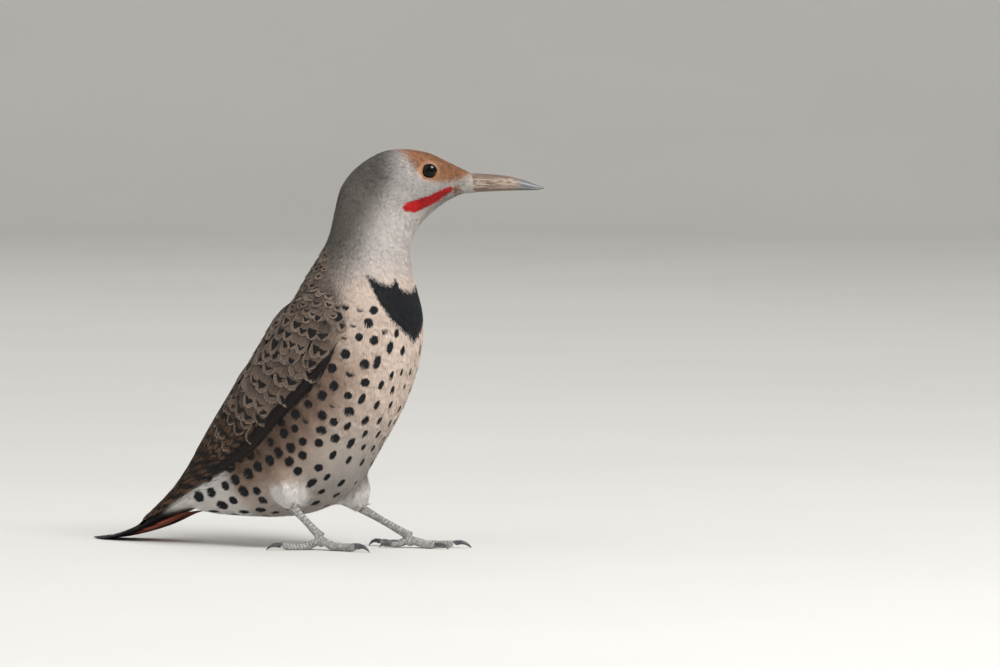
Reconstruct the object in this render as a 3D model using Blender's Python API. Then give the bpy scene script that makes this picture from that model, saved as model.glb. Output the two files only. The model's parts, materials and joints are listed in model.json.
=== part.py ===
"""A life-size standing woodpecker: a male red-shafted flicker, head turned to its left.

Metres, +Z up. The bird faces +X and its left side is +Y. It stands on the floor on both feet
and on the last stretch of its tail, which curves until it lies along the floor. The origin is
at the floor, under the middle of the whole bird.
"""

import math

import bmesh
import bpy
from mathutils import Matrix, Vector

MM = 0.001
GAP = 0.35 * MM  # clear space between neighbouring solids

# Tail: a straight stretch off the rump, then an arc that ends level on the floor.
TAIL_TIP_X = -140.0 * MM
TAIL_BEND_RADIUS = 76.0 * MM
TAIL_SLOPE = math.radians(60.0)
# Along the tail from its tip: distance, thickness, half width.
TAIL_STATIONS = (
    (0.0, 1.3, 2.5),
    (7.0, 2.2, 8.5),
    (20.0, 2.8, 13.0),
    (40.0, 5.6, 15.5),
    (60.0, 12.0, 16.0),
)

# Body landmarks from rump to bill, in the plane of symmetry before the head is turned:
# back x, back z, front x, front z, half width, and how far the widest level sits
# towards the back (+) or the front (-).
BODY_STATIONS = {
    "tail_base": (-76.3, 35.6, -66.0, 14.6, 16.8, 0.0),
    "tail_coverts": (-70.0, 45.5, -55.0, 14.0, 17.8, 0.0),
    "undertail": (-64.0, 55.0, -42.0, 13.8, 19.5, 0.0),
    "rump": (-57.0, 66.0, -25.0, 14.3, 22.0, 0.0),
    "vent": (-49.0, 76.5, -4.6, 18.5, 25.5, 0.05),
    "flank": (-40.0, 89.0, 12.7, 29.5, 29.5, 0.05),
    "belly": (-29.5, 102.5, 25.0, 47.5, 32.0, 0.05),
    "back": (-21.0, 116.0, 37.5, 67.5, 33.0, 0.05),
    "breast": (-13.5, 127.5, 47.0, 90.5, 32.0, 0.05),
    "shoulder": (-7.5, 138.0, 50.0, 112.0, 28.5, 0.05),
    "neck_base": (-2.0, 146.5, 46.5, 130.0, 23.0, 0.0),
    "neck": (3.0, 156.0, 44.2, 144.0, 19.0, 0.0),
    "throat": (6.2, 170.0, 45.2, 154.5, 16.8, 0.0),
    "nape": (9.7, 181.5, 49.5, 162.0, 16.0, -0.05),
    "occiput": (19.0, 192.0, 55.0, 167.5, 15.6, -0.1),
    "crown": (33.2, 199.0, 60.5, 171.8, 14.8, -0.12),
    "brow": (50.7, 198.0, 65.3, 174.6, 12.4, -0.12),
    "forehead": (63.2, 192.6, 69.6, 176.4, 8.8, -0.1),
    "bill_root": (73.4, 187.4, 75.4, 177.2, 5.4, 0.0),
}
BODY_ROUNDNESS = 2.15  # 2 is an ellipse, and more is squarer

# The neck turns the head to the bird's left, about an upright line through the neck.
HEAD_TURN = math.radians(30.0)
NECK_AXIS_X = 24.2 * MM
TURN_FROM, TURN_TO = "shoulder", "nape"

# Folded wing, laid on the body: body station, upper and lower edge as degrees round from
# the middle of the back, and thickness.
WING_STATIONS = (
    ("tail:38", 36.0, 52.0, 1.0),
    ("tail:52", 20.0, 64.0, 2.0),
    ("tail_base", 12.0, 76.0, 3.0),
    ("tail_coverts", 9.0, 84.0, 3.4),
    ("rump", 8.0, 86.0, 4.0),
    ("flank", 9.0, 86.0, 4.4),
    ("back", 18.0, 95.5, 4.4),
    ("breast", 38.0, 101.0, 3.2),
    ("shoulder", 66.0, 84.0, 1.0),
)
WING_RIM = 0.8 * MM  # thickness at the edges of the wing

EYE_RADIUS = 5.5 * MM
EYE_CENTRE = (53.2 * MM, 7.7 * MM, 188.1 * MM)  # before the head is turned

# Bill: share of its length, top, gape line and bottom heights, half width.
BILL_TIP_X = 110.2 * MM
BILL_STATIONS = (
    (0.0, 187.0, 181.2, 177.5, 5.0),
    (0.22, 186.6, 180.9, 177.9, 4.5),
    (0.5, 185.6, 180.4, 178.3, 3.6),
    (0.68, 184.0, 179.9, 178.5, 2.7),
    (0.84, 181.9, 179.5, 178.6, 1.7),
    (1.0, 179.7, 179.1, 178.8, 0.4),
)
LOWER_BILL_SHARE = 0.97  # the lower half stops a little short of the upper one's tip

# Legs: each foot's joint by the floor, the cuff where the leg feathers end, and the thigh's root.
LEGS = {
    "right": {"side": -1, "joint": (6.0, -18.0, 6.4), "cuff": (-9.5, -19.0, 20.5),
              "thigh": (-16.5, -16.5, 42.0), "heading": 8.0},
    "left": {"side": 1, "joint": (35.5, 19.0, 5.6), "cuff": (8.0, 18.5, 18.5),
             "thigh": (-3.5, 13.5, 43.0), "heading": 12.0},
}
THIGH_RADII = (9.5, 10.5, 10.0, 8.6, 3.8)
TARSUS_RADII = (2.5, 2.0, 1.9, 2.2)
SHANK_DEPTH = 0.8 * MM  # how far the shank stands inside the cuff
STUB_LENGTH = 4.6 * MM
SOLE_RADIUS = 2.9 * MM  # the pad where the four toes meet
# Toes: bearing from straight ahead (outwards positive), length, thickness, claw length.
TOES = {
    "outer_front": (15.0, 21.5, 2.0, 9.5),
    "inner_front": (-17.0, 15.5, 1.8, 8.0),
    "outer_hind": (158.0, 19.0, 1.9, 8.5),
    "inner_hind": (-157.0, 9.5, 1.6, 6.0),
}
TOE_SET_BACK = 0.9 * MM  # a toe starts this far behind the joint, inside the pad
TOE_DROP_RUN = 9.0 * MM  # how far out a toe comes down from the joint to the floor
CLAW_RISE = math.radians(26.0)
CLAW_DROP = math.radians(-62.0)

COLOURS = {
    "grey_down": (0.42, 0.38, 0.36),
    "buff_down": (0.62, 0.48, 0.40),
    "barred_vane": (0.26, 0.19, 0.14),
    "dark_vane": (0.05, 0.045, 0.04),
    "white_down": (0.78, 0.74, 0.70),
    "bill_horn": (0.34, 0.27, 0.23),
    "scaled_skin": (0.40, 0.40, 0.42),
    "claw_horn": (0.16, 0.13, 0.12),
    "eye": (0.015, 0.01, 0.01),
}


def clear_scene():
    """Empties the scene of whatever it opened with."""
    for item in list(bpy.data.objects):
        bpy.data.objects.remove(item)


def finish(name, roughness):
    """The material of that name, made the first time it is asked for."""
    made = bpy.data.materials.get(name)
    if made is None:
        made = bpy.data.materials.new(name)
        made.use_nodes = True
        shader = made.node_tree.nodes["Principled BSDF"]
        shader.inputs["Base Color"].default_value = (*COLOURS[name], 1.0)
        shader.inputs["Roughness"].default_value = roughness
        shader.inputs["Metallic"].default_value = 0.0
    return made


def eased(share):
    """A smooth step from 0 to 1."""
    share = min(max(share, 0.0), 1.0)
    return share * share * (3.0 - 2.0 * share)


def along(rows, place):
    """A row between the given rows, on a smooth curve through them. place counts rows."""
    last = len(rows) - 1
    start = min(max(int(place), 0), last - 1)
    share = place - start
    before, this, after, beyond = (
        rows[min(max(start + step, 0), last)] for step in (-1, 0, 1, 2)
    )
    return [
        b
        + 0.5 * share * ((c - a) + share * (2 * a - 5 * b + 4 * c - d)
                         + share * share * (3 * (b - c) + d - a))
        for a, b, c, d in zip(before, this, after, beyond)
    ]


def tail_point(distance):
    """Place and slope of the tail's upper surface, that far from the tip along it."""
    bend = min(distance / TAIL_BEND_RADIUS, TAIL_SLOPE)
    straight = max(distance - TAIL_BEND_RADIUS * TAIL_SLOPE, 0.0)
    x = TAIL_TIP_X + TAIL_BEND_RADIUS * math.sin(bend) + straight * math.cos(bend)
    z = TAIL_BEND_RADIUS * (1.0 - math.cos(bend)) + straight * math.sin(bend)
    return x, z, bend


def tail_rows():
    """The tail's stations as rows of the body: the floor carries the underside of the tip."""
    rows = []
    for distance, thickness, half_width in TAIL_STATIONS:
        x, z, slope = tail_point(distance * MM)
        tip_lift = TAIL_STATIONS[0][1]
        top = (x / MM, z / MM + tip_lift)
        under = (top[0] + thickness * math.sin(slope), top[1] - thickness * math.cos(slope))
        rows.append((*top, *under, half_width, 0.0))
    return rows


BODY_ROWS = tail_rows() + list(BODY_STATIONS.values())
STATION_NAMES = [f"tail:{row[0]:g}" for row in TAIL_STATIONS] + list(BODY_STATIONS)


def place_of(name):
    """Where a station lies along the body rows. tail:D is D millimetres from the tail's tip."""
    if name in STATION_NAMES:
        return float(STATION_NAMES.index(name))
    distance = float(name.split(":")[1])
    reached = [row[0] for row in TAIL_STATIONS]
    after = next(i for i, d in enumerate(reached) if d > distance)
    return after - 1 + (distance - reached[after - 1]) / (reached[after] - reached[after - 1])


TURN_START, TURN_END = place_of(TURN_FROM), place_of(TURN_TO)


def turned(point, share=1.0):
    """A point after that share of the head's turn."""
    centre = Vector((NECK_AXIS_X, 0.0, 0.0))
    return Matrix.Rotation(HEAD_TURN * share, 3, "Z") @ (Vector(point) - centre) + centre


def squared(value, roundness=BODY_ROUNDNESS):
    """A cosine or sine pushed outwards, so that a circle becomes a rounder square."""
    return math.copysign(abs(value) ** (2.0 / roundness), value)


def body_point(place, angle, grow=0.0):
    """A point of the body's surface. The angle runs from the middle of the back round the left."""
    back_x, back_z, front_x, front_z, half_width, bias = along(BODY_ROWS, place)
    back = Vector((back_x, 0.0, back_z)) * MM
    front = Vector((front_x, 0.0, front_z)) * MM
    middle, reach = (back + front) / 2, (back - front) / 2
    deep, wide = squared(math.cos(angle)), squared(math.sin(angle))
    point = middle + reach.normalized() * (reach.length + grow) * deep
    point.y = (half_width * MM + grow) * wide * (1.0 + bias * deep)
    share = (place - TURN_START) / (TURN_END - TURN_START)
    return turned(point, eased(share))


def body_normal(place, angle):
    """The outward direction of the body's surface."""
    step = 0.01
    lengthwise = body_point(place + step, angle) - body_point(place - step, angle)
    round_it = body_point(place, angle + step) - body_point(place, angle - step)
    return lengthwise.cross(round_it).normalized()


def on_floor(point):
    """The point, lifted onto the floor where it would be below it."""
    return Vector((point.x, point.y, max(point.z, 0.0)))


def solid(name, surface, rings, sides, material, roughness=0.7):
    """A closed solid: a grid wrapped round into a tube by surface(length, turn), with ends filled.
    Both arguments of surface run from 0 to 1, and turn closes on itself."""
    mesh = bmesh.new()
    bmesh.ops.create_grid(mesh, x_segments=rings, y_segments=sides, size=0.5)
    for corner in mesh.verts:
        corner.co = surface(corner.co.x + 0.5, corner.co.y + 0.5)
    bmesh.ops.remove_doubles(mesh, verts=mesh.verts, dist=0.002 * MM)
    bmesh.ops.holes_fill(mesh, edges=mesh.edges, sides=0)
    bmesh.ops.recalc_face_normals(mesh, faces=mesh.faces)
    if mesh.calc_volume(signed=True) < 0.0:
        bmesh.ops.reverse_faces(mesh, faces=mesh.faces)
    return shown(name, mesh, material, roughness)


def shown(name, mesh, material, roughness):
    """The finished mesh as an object of that name."""
    data = bpy.data.meshes.new(name)
    mesh.to_mesh(data)
    mesh.free()
    data.materials.append(finish(material, roughness))
    data.shade_smooth()
    data.set_sharp_from_angle(angle=math.radians(50.0))
    item = bpy.data.objects.new(name, data)
    bpy.context.scene.collection.objects.link(item)
    return item


def body_stretch(name, start, end, rings, sides, material, grow=0.0):
    """The solid between two places of the body, a gap short of them where it meets a neighbour."""

    def surface(length, turn):
        place = start + (end - start) * length
        return on_floor(body_point(place, turn * math.tau, grow))

    return solid(name, surface, rings, sides, material)


def gap_in_places(place):
    """Half a gap, counted in rows of the body at that place."""
    here, there = (along(BODY_ROWS, place + step) for step in (-0.5, 0.5))
    moved = [(b - a) * MM for a, b in zip(here, there)]
    return 0.5 * GAP / (0.5 * math.hypot(moved[0] + moved[2], moved[1] + moved[3]))


def helper(item):
    """Marks a cutter, or a shape that another one takes in."""
    item.hide_render = True
    item.display_type = "WIRE"
    return item


def combine(item, other, operation):
    """Adds an exact Boolean to the item."""
    modifier = item.modifiers.new(f"{operation.lower()}_{other.name}", "BOOLEAN")
    modifier.operation = operation
    modifier.solver = "EXACT"
    modifier.object = other


def make_body():
    """Tail, trunk, neck and head: one form, parted by thin flat gaps."""
    cuts = [0.0, place_of("tail_base") - 0.3, place_of("neck_base") - 0.3,
            place_of("nape") - 0.5, len(BODY_ROWS) - 1.0]
    pieces = (
        ("tail", 16, 16, "dark_vane"),
        ("trunk", 24, 28, "buff_down"),
        ("neck", 7, 28, "grey_down"),
        ("head", 18, 28, "grey_down"),
    )
    made = {}
    for (name, rings, sides, material), start, end in zip(pieces, cuts, cuts[1:]):
        start += gap_in_places(start) if start else 0.0
        end -= gap_in_places(end) if end < cuts[-1] else 0.0
        made[name] = body_stretch(name, start, end, rings, sides, material)
    return made


def make_wing(name, side):
    """A folded wing: a thin shell laid on the body from the shoulder to over the tail."""
    rows = [(place_of(row[0]), *row[1:]) for row in WING_STATIONS]

    def surface(length, turn):
        place, upper, lower, thickness = along(rows, length * (len(rows) - 1))
        outside = turn < 0.5
        across = 2.0 * turn if outside else 2.0 - 2.0 * turn
        angle = side * math.radians(upper + (lower - upper) * across)
        lift = GAP
        if outside:
            lift += WING_RIM + thickness * MM * math.sin(math.pi * across) ** 0.7
        normal = body_normal(place, angle)
        return body_point(place, angle) + normal * lift

    return solid(name, surface, 21, 12, "barred_vane")


def make_eyes(head):
    """Both eyeballs, and their sockets in the head."""
    made = []
    for name, side in (("eye_right", -1), ("eye_left", 1)):
        x, y, z = EYE_CENTRE
        centre = turned((x, side * y, z))
        for label, radius in ((name, EYE_RADIUS), (f"{name}_socket", EYE_RADIUS + GAP)):
            ball = bmesh.new()
            bmesh.ops.create_icosphere(ball, subdivisions=3, radius=radius)
            bmesh.ops.translate(ball, verts=ball.verts, vec=centre)
            made.append(shown(label, ball, "eye", 0.1))
        combine(head, helper(made[-1]), "DIFFERENCE")
    return made


def make_bill():
    """Upper and lower halves of the closed bill. Their bases follow the face they stand off."""
    back_x, back_z, front_x, front_z = (value * MM for value in BODY_ROWS[-1][:4])
    root_x, root_z, root_lean = back_x, back_z, (back_x - front_x) / (back_z - front_z)

    def half(name, upper, length_share):
        def surface(length, turn):
            share = length * length_share
            rows = [row[1:] for row in BILL_STATIONS]
            reached = [row[0] for row in BILL_STATIONS]
            after = next((i for i, s in enumerate(reached) if s > share), len(reached) - 1)
            start, end = reached[after - 1], reached[after]
            top, gape, bottom, half_width = along(rows, after - 1 + (share - start) / (end - start))
            angle = turn * math.tau
            edge = gape * MM + (0.5 if upper else -0.5) * GAP
            outer = (top if upper else bottom) * MM
            rise = squared(max(math.sin(angle), 0.0), 2.3)
            z = edge + (outer - edge) * rise
            base = root_x + GAP + (z - root_z) * root_lean
            y = half_width * MM * math.cos(angle)
            return turned((base + (BILL_TIP_X - base) * share, y, z))

        return solid(name, surface, 11, 14, "bill_horn", 0.35)

    return [half("bill_upper", True, 1.0), half("bill_lower", False, LOWER_BILL_SHARE)]


def tube(name, line, radii, rings, sides, material, roughness=0.6, flat=True):
    """A round solid along line(share), with radii spread evenly from its start to its end."""
    rows = [(radius * MM,) for radius in radii]

    def surface(length, turn):
        step = 0.02
        ahead = line(min(length + step, 1.0)) - line(max(length - step, 0.0))
        turn_to = ahead.normalized().to_track_quat("Z", "X").to_matrix()
        radius = along(rows, length * (len(rows) - 1))[0]
        angle = turn * math.tau
        round_it = Vector((math.cos(angle), math.sin(angle), 0.0)) * radius
        point = line(length) + turn_to @ round_it
        return on_floor(point) if flat else point

    return solid(name, surface, rings, sides, material, roughness)


def straight(start, end):
    """The straight line from start to end."""
    return lambda share: start.lerp(end, share)


def make_toe(leg_name, toe_name, leg):
    """A toe from the foot's joint to its last pad, and its claw, which hooks down to the floor."""
    bearing, length, thickness, claw_length = TOES[toe_name]
    yaw = math.radians(leg["heading"] + leg["side"] * bearing)
    heading = Vector((math.cos(yaw), math.sin(yaw), 0.0))
    joint = Vector(leg["joint"]) * MM
    resting = 0.93 * thickness * MM  # the pads press a narrow flat on the floor
    reach, claw_reach = length * MM, claw_length * MM

    def line(share):
        run = reach * share - TOE_SET_BACK * (1.0 - share)
        point = joint + heading * run
        drop = joint.z - 1.8 * MM - resting
        point.z = resting + drop * (1.0 - eased(run / TOE_DROP_RUN))
        point.z += 0.35 * MM * eased((share - 0.8) / 0.2)
        return point

    radii = [thickness * swell for swell in (1.15, 1.0, 1.08, 0.92, 1.05, 0.88, 1.0, 0.78)]
    toe = tube(f"toe_{leg_name}_{toe_name}", line, radii, 10, 8, "scaled_skin", flat=False)
    claw_radii = [thickness * share for share in (0.74, 0.68, 0.52, 0.34, 0.14)]
    clear = GAP + claw_radii[0] * MM * math.sin(CLAW_RISE)
    tip = line(1.0) + heading * clear

    def hook(share):
        curl = (CLAW_DROP - CLAW_RISE) / claw_reach
        turned_by = CLAW_RISE + curl * claw_reach * share
        forward = (math.sin(turned_by) - math.sin(CLAW_RISE)) / curl
        upward = (math.cos(CLAW_RISE) - math.cos(turned_by)) / curl
        return tip + heading * forward + Vector((0.0, 0.0, upward))

    claw = tube(f"claw_{leg_name}_{toe_name}", hook, claw_radii, 6, 6, "claw_horn",
                roughness=0.35)
    return toe, claw


def make_leg(leg_name, leg, body_cutter, floor):
    """Feathered thigh, bare shank, and foot with four toes, two ahead and two behind."""
    root, cuff, joint = (Vector(leg[key]) * MM for key in ("thigh", "cuff", "joint"))
    shank = (joint - cuff).normalized()
    thigh = tube(f"thigh_{leg_name}", straight(root, cuff), THIGH_RADII, 10, 14,
                 "white_down")
    combine(thigh, body_cutter, "DIFFERENCE")
    shank_start, shank_end = cuff - shank * SHANK_DEPTH, joint - shank * STUB_LENGTH
    tube(f"shank_{leg_name}", straight(shank_start, shank_end), TARSUS_RADII, 6, 10,
         "scaled_skin")
    socket = tube(f"cuff_{leg_name}_cutter", straight(shank_start - shank * GAP, shank_end),
                  [radius + GAP / MM for radius in TARSUS_RADII], 6, 10, "white_down")
    combine(thigh, helper(socket), "DIFFERENCE")
    stub = straight(shank_end + shank * GAP, joint - shank * 0.3 * MM)
    foot = tube(f"foot_{leg_name}", stub, (2.2, 2.4, 2.8), 4, 10, "scaled_skin")
    pad = bmesh.new()
    bmesh.ops.create_icosphere(pad, subdivisions=2, radius=SOLE_RADIUS)
    bmesh.ops.translate(pad, verts=pad.verts, vec=joint - Vector((0.0, 0.0, 0.7 * SOLE_RADIUS)))
    combine(foot, helper(shown(f"sole_{leg_name}", pad, "scaled_skin", 0.6)), "UNION")
    for toe_name in TOES:
        toe, _ = make_toe(leg_name, toe_name, leg)
        combine(foot, helper(toe), "UNION")
    combine(foot, floor, "DIFFERENCE")


def stand_on_origin():
    """Puts the middle of the whole bird's box over the origin."""
    bpy.context.view_layer.update()
    graph = bpy.context.evaluated_depsgraph_get()
    corners = [
        Vector(corner)
        for item in bpy.data.objects
        if item.type == "MESH" and not item.hide_render
        for corner in item.evaluated_get(graph).bound_box
    ]
    middle = [(min(c[i] for c in corners) + max(c[i] for c in corners)) / 2 for i in range(2)]
    stand = bpy.data.objects.new("bird", None)
    bpy.context.scene.collection.objects.link(stand)
    for item in bpy.data.objects:
        if item.type == "MESH":
            item.parent = stand
    stand.location = (-middle[0], -middle[1], 0.0)


def main():
    """Builds the whole bird."""
    clear_scene()
    body = make_body()
    for name, side in (("wing_right", -1), ("wing_left", 1)):
        make_wing(name, side)
    make_eyes(body["head"])
    make_bill()
    body_cutter = helper(body_stretch("body_cutter", place_of("tail_coverts"),
                                      place_of("neck_base"), 26, 28, "buff_down", GAP))
    slab = bmesh.new()
    bmesh.ops.create_cube(slab, size=1.0)
    bmesh.ops.translate(slab, verts=slab.verts, vec=(0.0, 0.0, -0.5))
    floor = helper(shown("floor_cutter", slab, "white_down", 0.7))
    for leg_name, leg in LEGS.items():
        make_leg(leg_name, leg, body_cutter, floor)
    stand_on_origin()


main()
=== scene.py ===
"""Looks of a life-size standing woodpecker: a male red-shafted flicker.

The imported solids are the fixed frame, in metres, +Z up. One skin follows the solids of flesh
from inside, and the plumage lies over it as solid tufts and vanes that reach the solids'
surface. Distances along the body are counted from the tail's tip, and angles round it from the
middle of the back, positive to the bird's left.
"""

import json
import math

import bmesh
import bpy
import numpy as np
from mathutils import Matrix, Vector
from mathutils.bvhtree import BVHTree

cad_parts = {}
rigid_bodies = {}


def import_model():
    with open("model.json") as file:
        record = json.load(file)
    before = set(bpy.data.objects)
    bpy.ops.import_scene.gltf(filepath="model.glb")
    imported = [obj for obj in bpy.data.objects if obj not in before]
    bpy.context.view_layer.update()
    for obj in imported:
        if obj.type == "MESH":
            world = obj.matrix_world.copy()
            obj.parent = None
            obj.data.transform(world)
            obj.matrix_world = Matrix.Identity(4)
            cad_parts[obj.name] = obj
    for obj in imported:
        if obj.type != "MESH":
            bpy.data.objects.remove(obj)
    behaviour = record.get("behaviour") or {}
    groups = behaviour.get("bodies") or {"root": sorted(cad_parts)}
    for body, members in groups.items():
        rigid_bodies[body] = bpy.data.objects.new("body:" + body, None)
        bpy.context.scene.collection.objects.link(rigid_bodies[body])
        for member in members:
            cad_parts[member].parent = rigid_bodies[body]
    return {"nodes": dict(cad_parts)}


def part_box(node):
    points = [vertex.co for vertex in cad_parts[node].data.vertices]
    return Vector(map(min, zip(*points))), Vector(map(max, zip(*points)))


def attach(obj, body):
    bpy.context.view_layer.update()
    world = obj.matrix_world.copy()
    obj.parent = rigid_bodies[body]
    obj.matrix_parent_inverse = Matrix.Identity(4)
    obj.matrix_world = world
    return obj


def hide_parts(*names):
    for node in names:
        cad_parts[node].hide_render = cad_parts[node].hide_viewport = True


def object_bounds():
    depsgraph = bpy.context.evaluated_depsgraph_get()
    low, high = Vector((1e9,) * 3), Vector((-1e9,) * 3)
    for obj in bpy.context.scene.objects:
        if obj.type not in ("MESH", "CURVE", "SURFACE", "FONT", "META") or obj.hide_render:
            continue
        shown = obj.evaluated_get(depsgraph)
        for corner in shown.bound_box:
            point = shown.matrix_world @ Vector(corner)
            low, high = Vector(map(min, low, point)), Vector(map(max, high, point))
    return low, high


bl_info = {
    "name": "Standing Flicker",
    "version": (1, 0, 0),
    "blender": (4, 5, 0),
    "location": "3D View > Sidebar > Flicker",
    "description": "Plumage, bare parts and studio of a life-size standing woodpecker",
    "category": "Object",
}

MM = 0.001
SIDES = ("left", "right")
for stray in list(bpy.data.objects):
    bpy.data.objects.remove(stray)
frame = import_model()
CAD_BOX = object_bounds()

FLESH = ("trunk", "neck", "head", "tail", "wing_left", "wing_right", "thigh_left", "thigh_right")

# The midline from the tail's tip to the bill's root: each place as shares of a solid's box.
MIDLINE = {
    "tail_tip": ("tail", 0.014, 0.5, 0.031),
    "tail_bend": ("tail", 0.269, 0.5, 0.112),
    "tail_middle": ("tail", 0.537, 0.5, 0.281),
    "tail_root": ("tail", 0.82, 0.5, 0.609),
    "undertail": ("trunk", 0.126, 0.5, 0.122),
    "rump": ("trunk", 0.293, 0.5, 0.202),
    "vent": ("trunk", 0.403, 0.5, 0.259),
    "flank": ("trunk", 0.506, 0.5, 0.348),
    "belly": ("trunk", 0.594, 0.5, 0.471),
    "back": ("trunk", 0.675, 0.5, 0.6),
    "breast": ("trunk", 0.741, 0.5, 0.732),
    "shoulder": ("trunk", 0.776, 0.5, 0.855),
    "neck_base": ("neck", 0.503, 0.5, 0.253),
    "neck": ("neck", 0.531, 0.5, 0.49),
    "throat": ("neck", 0.569, 0.515, 0.727),
    "nape": ("head", 0.337, 0.406, 0.327),
    "occiput": ("head", 0.439, 0.487, 0.523),
    "crown": ("head", 0.577, 0.596, 0.656),
    "brow": ("head", 0.728, 0.717, 0.678),
    "forehead": ("head", 0.844, 0.809, 0.634),
    "bill_root": ("head", 0.955, 0.897, 0.58),
}
# Steps of the curve through those places, and of the even line that is made from it.
CURVE_STEPS, MIDLINE_STEPS = 1200, 240
# How many points are compared with others at once, which keeps memory small.
BATCH = 20000


def linear(red, green, blue):
    """A display colour, 0 to 255, as the linear values that shaders use."""
    shares = (value / 255.0 for value in (red, green, blue))
    return tuple(s / 12.92 if s <= 0.04045 else ((s + 0.055) / 1.055) ** 2.4 for s in shares)


def colour(name, description, value):
    """A colour property with that default, given as display values."""
    return bpy.props.FloatVectorProperty(
        name=name, description=description, default=linear(*value), subtype="COLOR", size=3,
        min=0.0, max=1.0,
    )


def length(name, description, value, lowest=0.0):
    """A length property with that default and lowest value in millimetres."""
    return bpy.props.FloatProperty(
        name=name, description=description, default=value * MM, min=lowest * MM, subtype="DISTANCE",
        unit="LENGTH", precision=5,
    )


def angle_setting(name, description, value):
    """An angle property with that default in degrees."""
    return bpy.props.FloatProperty(
        name=name, description=description, default=math.radians(value), subtype="ANGLE", unit="ROTATION",
    )


def power(name, description, value):
    """A property for a lamp's power."""
    return bpy.props.FloatProperty(
        name=name, description=description, default=value, min=0.0, subtype="POWER", unit="POWER",
    )


# --- places on the bird


def box(node):
    """Lowest and highest corner of a solid, as arrays."""
    low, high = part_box(node)
    return np.array(low), np.array(high)


def thighs():
    """Lowest and highest corners of the two thighs."""
    return [box(f"thigh_{side}") for side in SIDES]


def points_of(data):
    """The places of a mesh's points, as rows."""
    rows = np.empty(len(data.vertices) * 3)
    data.vertices.foreach_get("co", rows)
    return rows.reshape(-1, 3)


def unit(rows):
    """Rows scaled to length 1."""
    return rows / np.maximum(np.linalg.norm(rows, axis=-1, keepdims=True), 1e-12)


def sizes_of(rows):
    """The length of each row."""
    return np.linalg.norm(rows, axis=1)


def eased(share):
    """A smooth step from 0 to 1."""
    share = np.clip(share, 0.0, 1.0)
    return share * share * (3.0 - 2.0 * share)


def mixed(first, second, share):
    """Blend of two rows or arrays of rows by a share for each row."""
    share = np.asarray(share)[..., None]
    return np.asarray(first) * (1.0 - share) + np.asarray(second) * share


def level(directions, normals):
    """Directions laid flat on a surface with those normals, and scaled to length 1."""
    return unit(directions - normals * (directions * normals).sum(1)[:, None])


def ramp(value, start, end):
    """A smooth step from 0 at the start to 1 at the end."""
    return eased((value - start) / (end - start))


def beside_line(points, start, end):
    """Share of a straight line's length at which each point lies, and its distance from the line."""
    run = end - start
    share = np.clip((points - start) @ run / (run @ run), 0.0, 1.0)
    return share, sizes_of(points - start - share[:, None] * run)


def closest(points, centres):
    """Number of the centre nearest to each point, worked out in batches to save memory."""
    best = np.empty(len(points), int)
    for start in range(0, len(points), BATCH):
        part = points[start:start + BATCH]
        best[start:start + BATCH] = ((part[:, None] - centres[None]) ** 2).sum(-1).argmin(1)
    return best


class Head:
    """The head's own directions, from the places of its eyes."""

    def __init__(self):
        left, right = (sum(box(name)) / 2 for name in ("eye_left", "eye_right"))
        self.middle = (left + right) / 2
        self.side = unit(left - right)
        self.up = np.array((0.0, 0.0, 1.0))
        self.ahead = unit(np.cross(self.side, self.up))
        self.eyes = {1: left, -1: right}
        self.eye_radius = (box("eye_left")[1] - box("eye_left")[0])[2] / 2
        # How far ahead of the eyes the bill's upper half starts and ends.
        ahead, _, _ = self.local(points_of(frame["nodes"]["bill_upper"].data))
        self.bill_root, self.bill_tip = ahead.min(), ahead.max()

    def local(self, points):
        """Distances ahead of the eyes, to the left and above, for each point."""
        away = points - self.middle
        return away @ self.ahead, away @ self.side, away @ self.up

    def local_mm(self, points):
        """The same distances in millimetres."""
        return [value / MM for value in self.local(points)]

    def from_eye(self, sign, points):
        """Distances from the axis of an eye, and outwards from its middle, for each point."""
        away = points - self.eyes[sign]
        beside = away @ self.side
        return sizes_of(away - np.outer(beside, self.side)), beside * sign


class Midline:
    """The line through the body, with its dorsal and left directions at every place."""

    def __init__(self, head):
        named = []
        for node, *shares in MIDLINE.values():
            low, high = box(node)
            named.append(low + (high - low) * np.array(shares))
        last = len(named) - 1
        rows = self._curve(np.array(named), np.linspace(0, last, CURVE_STEPS))
        reached = np.concatenate([[0.0], np.cumsum(sizes_of(np.diff(rows, axis=0)))])
        self.reach = np.linspace(0.0, reached[-1], MIDLINE_STEPS)
        self.points = np.array([np.interp(self.reach, reached, column) for column in rows.T]).T
        self.along = unit(np.gradient(self.points, axis=0))
        self.named = {name: reached[round(i * (CURVE_STEPS - 1) / last)] for i, name in enumerate(MIDLINE)}
        share = ramp(self.reach, self.named["shoulder"], self.named["nape"])
        self.side = unit(mixed((0.0, 1.0, 0.0), head.side, share))
        self.dorsal = unit(np.cross(self.along, self.side))
        self.side = unit(np.cross(self.dorsal, self.along))

    @staticmethod
    def _curve(rows, place):
        """Points on the smooth curve through the rows."""
        last = len(rows) - 1
        start = np.minimum(place.astype(int), last - 1)
        s = (place - start)[:, None]
        a, b, c, d = (rows[np.clip(start + step, 0, last)] for step in (-1, 0, 1, 2))
        return b + 0.5 * s * ((c - a) + s * (2 * a - 5 * b + 4 * c - d) + s * s * (3 * (b - c) + d - a))

    def locate(self, points):
        """Distance along the line and angle round it, for each point."""
        index = closest(points, self.points)
        away = points - self.points[index]
        angle = np.arctan2((away * self.side[index]).sum(1), (away * self.dorsal[index]).sum(1))
        return self.reach[index], angle, index

    def at(self, distance, rows):
        """Rows of the line, such as its points, at a distance along it."""
        return np.array([np.interp(distance, self.reach, column) for column in rows.T]).T


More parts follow.
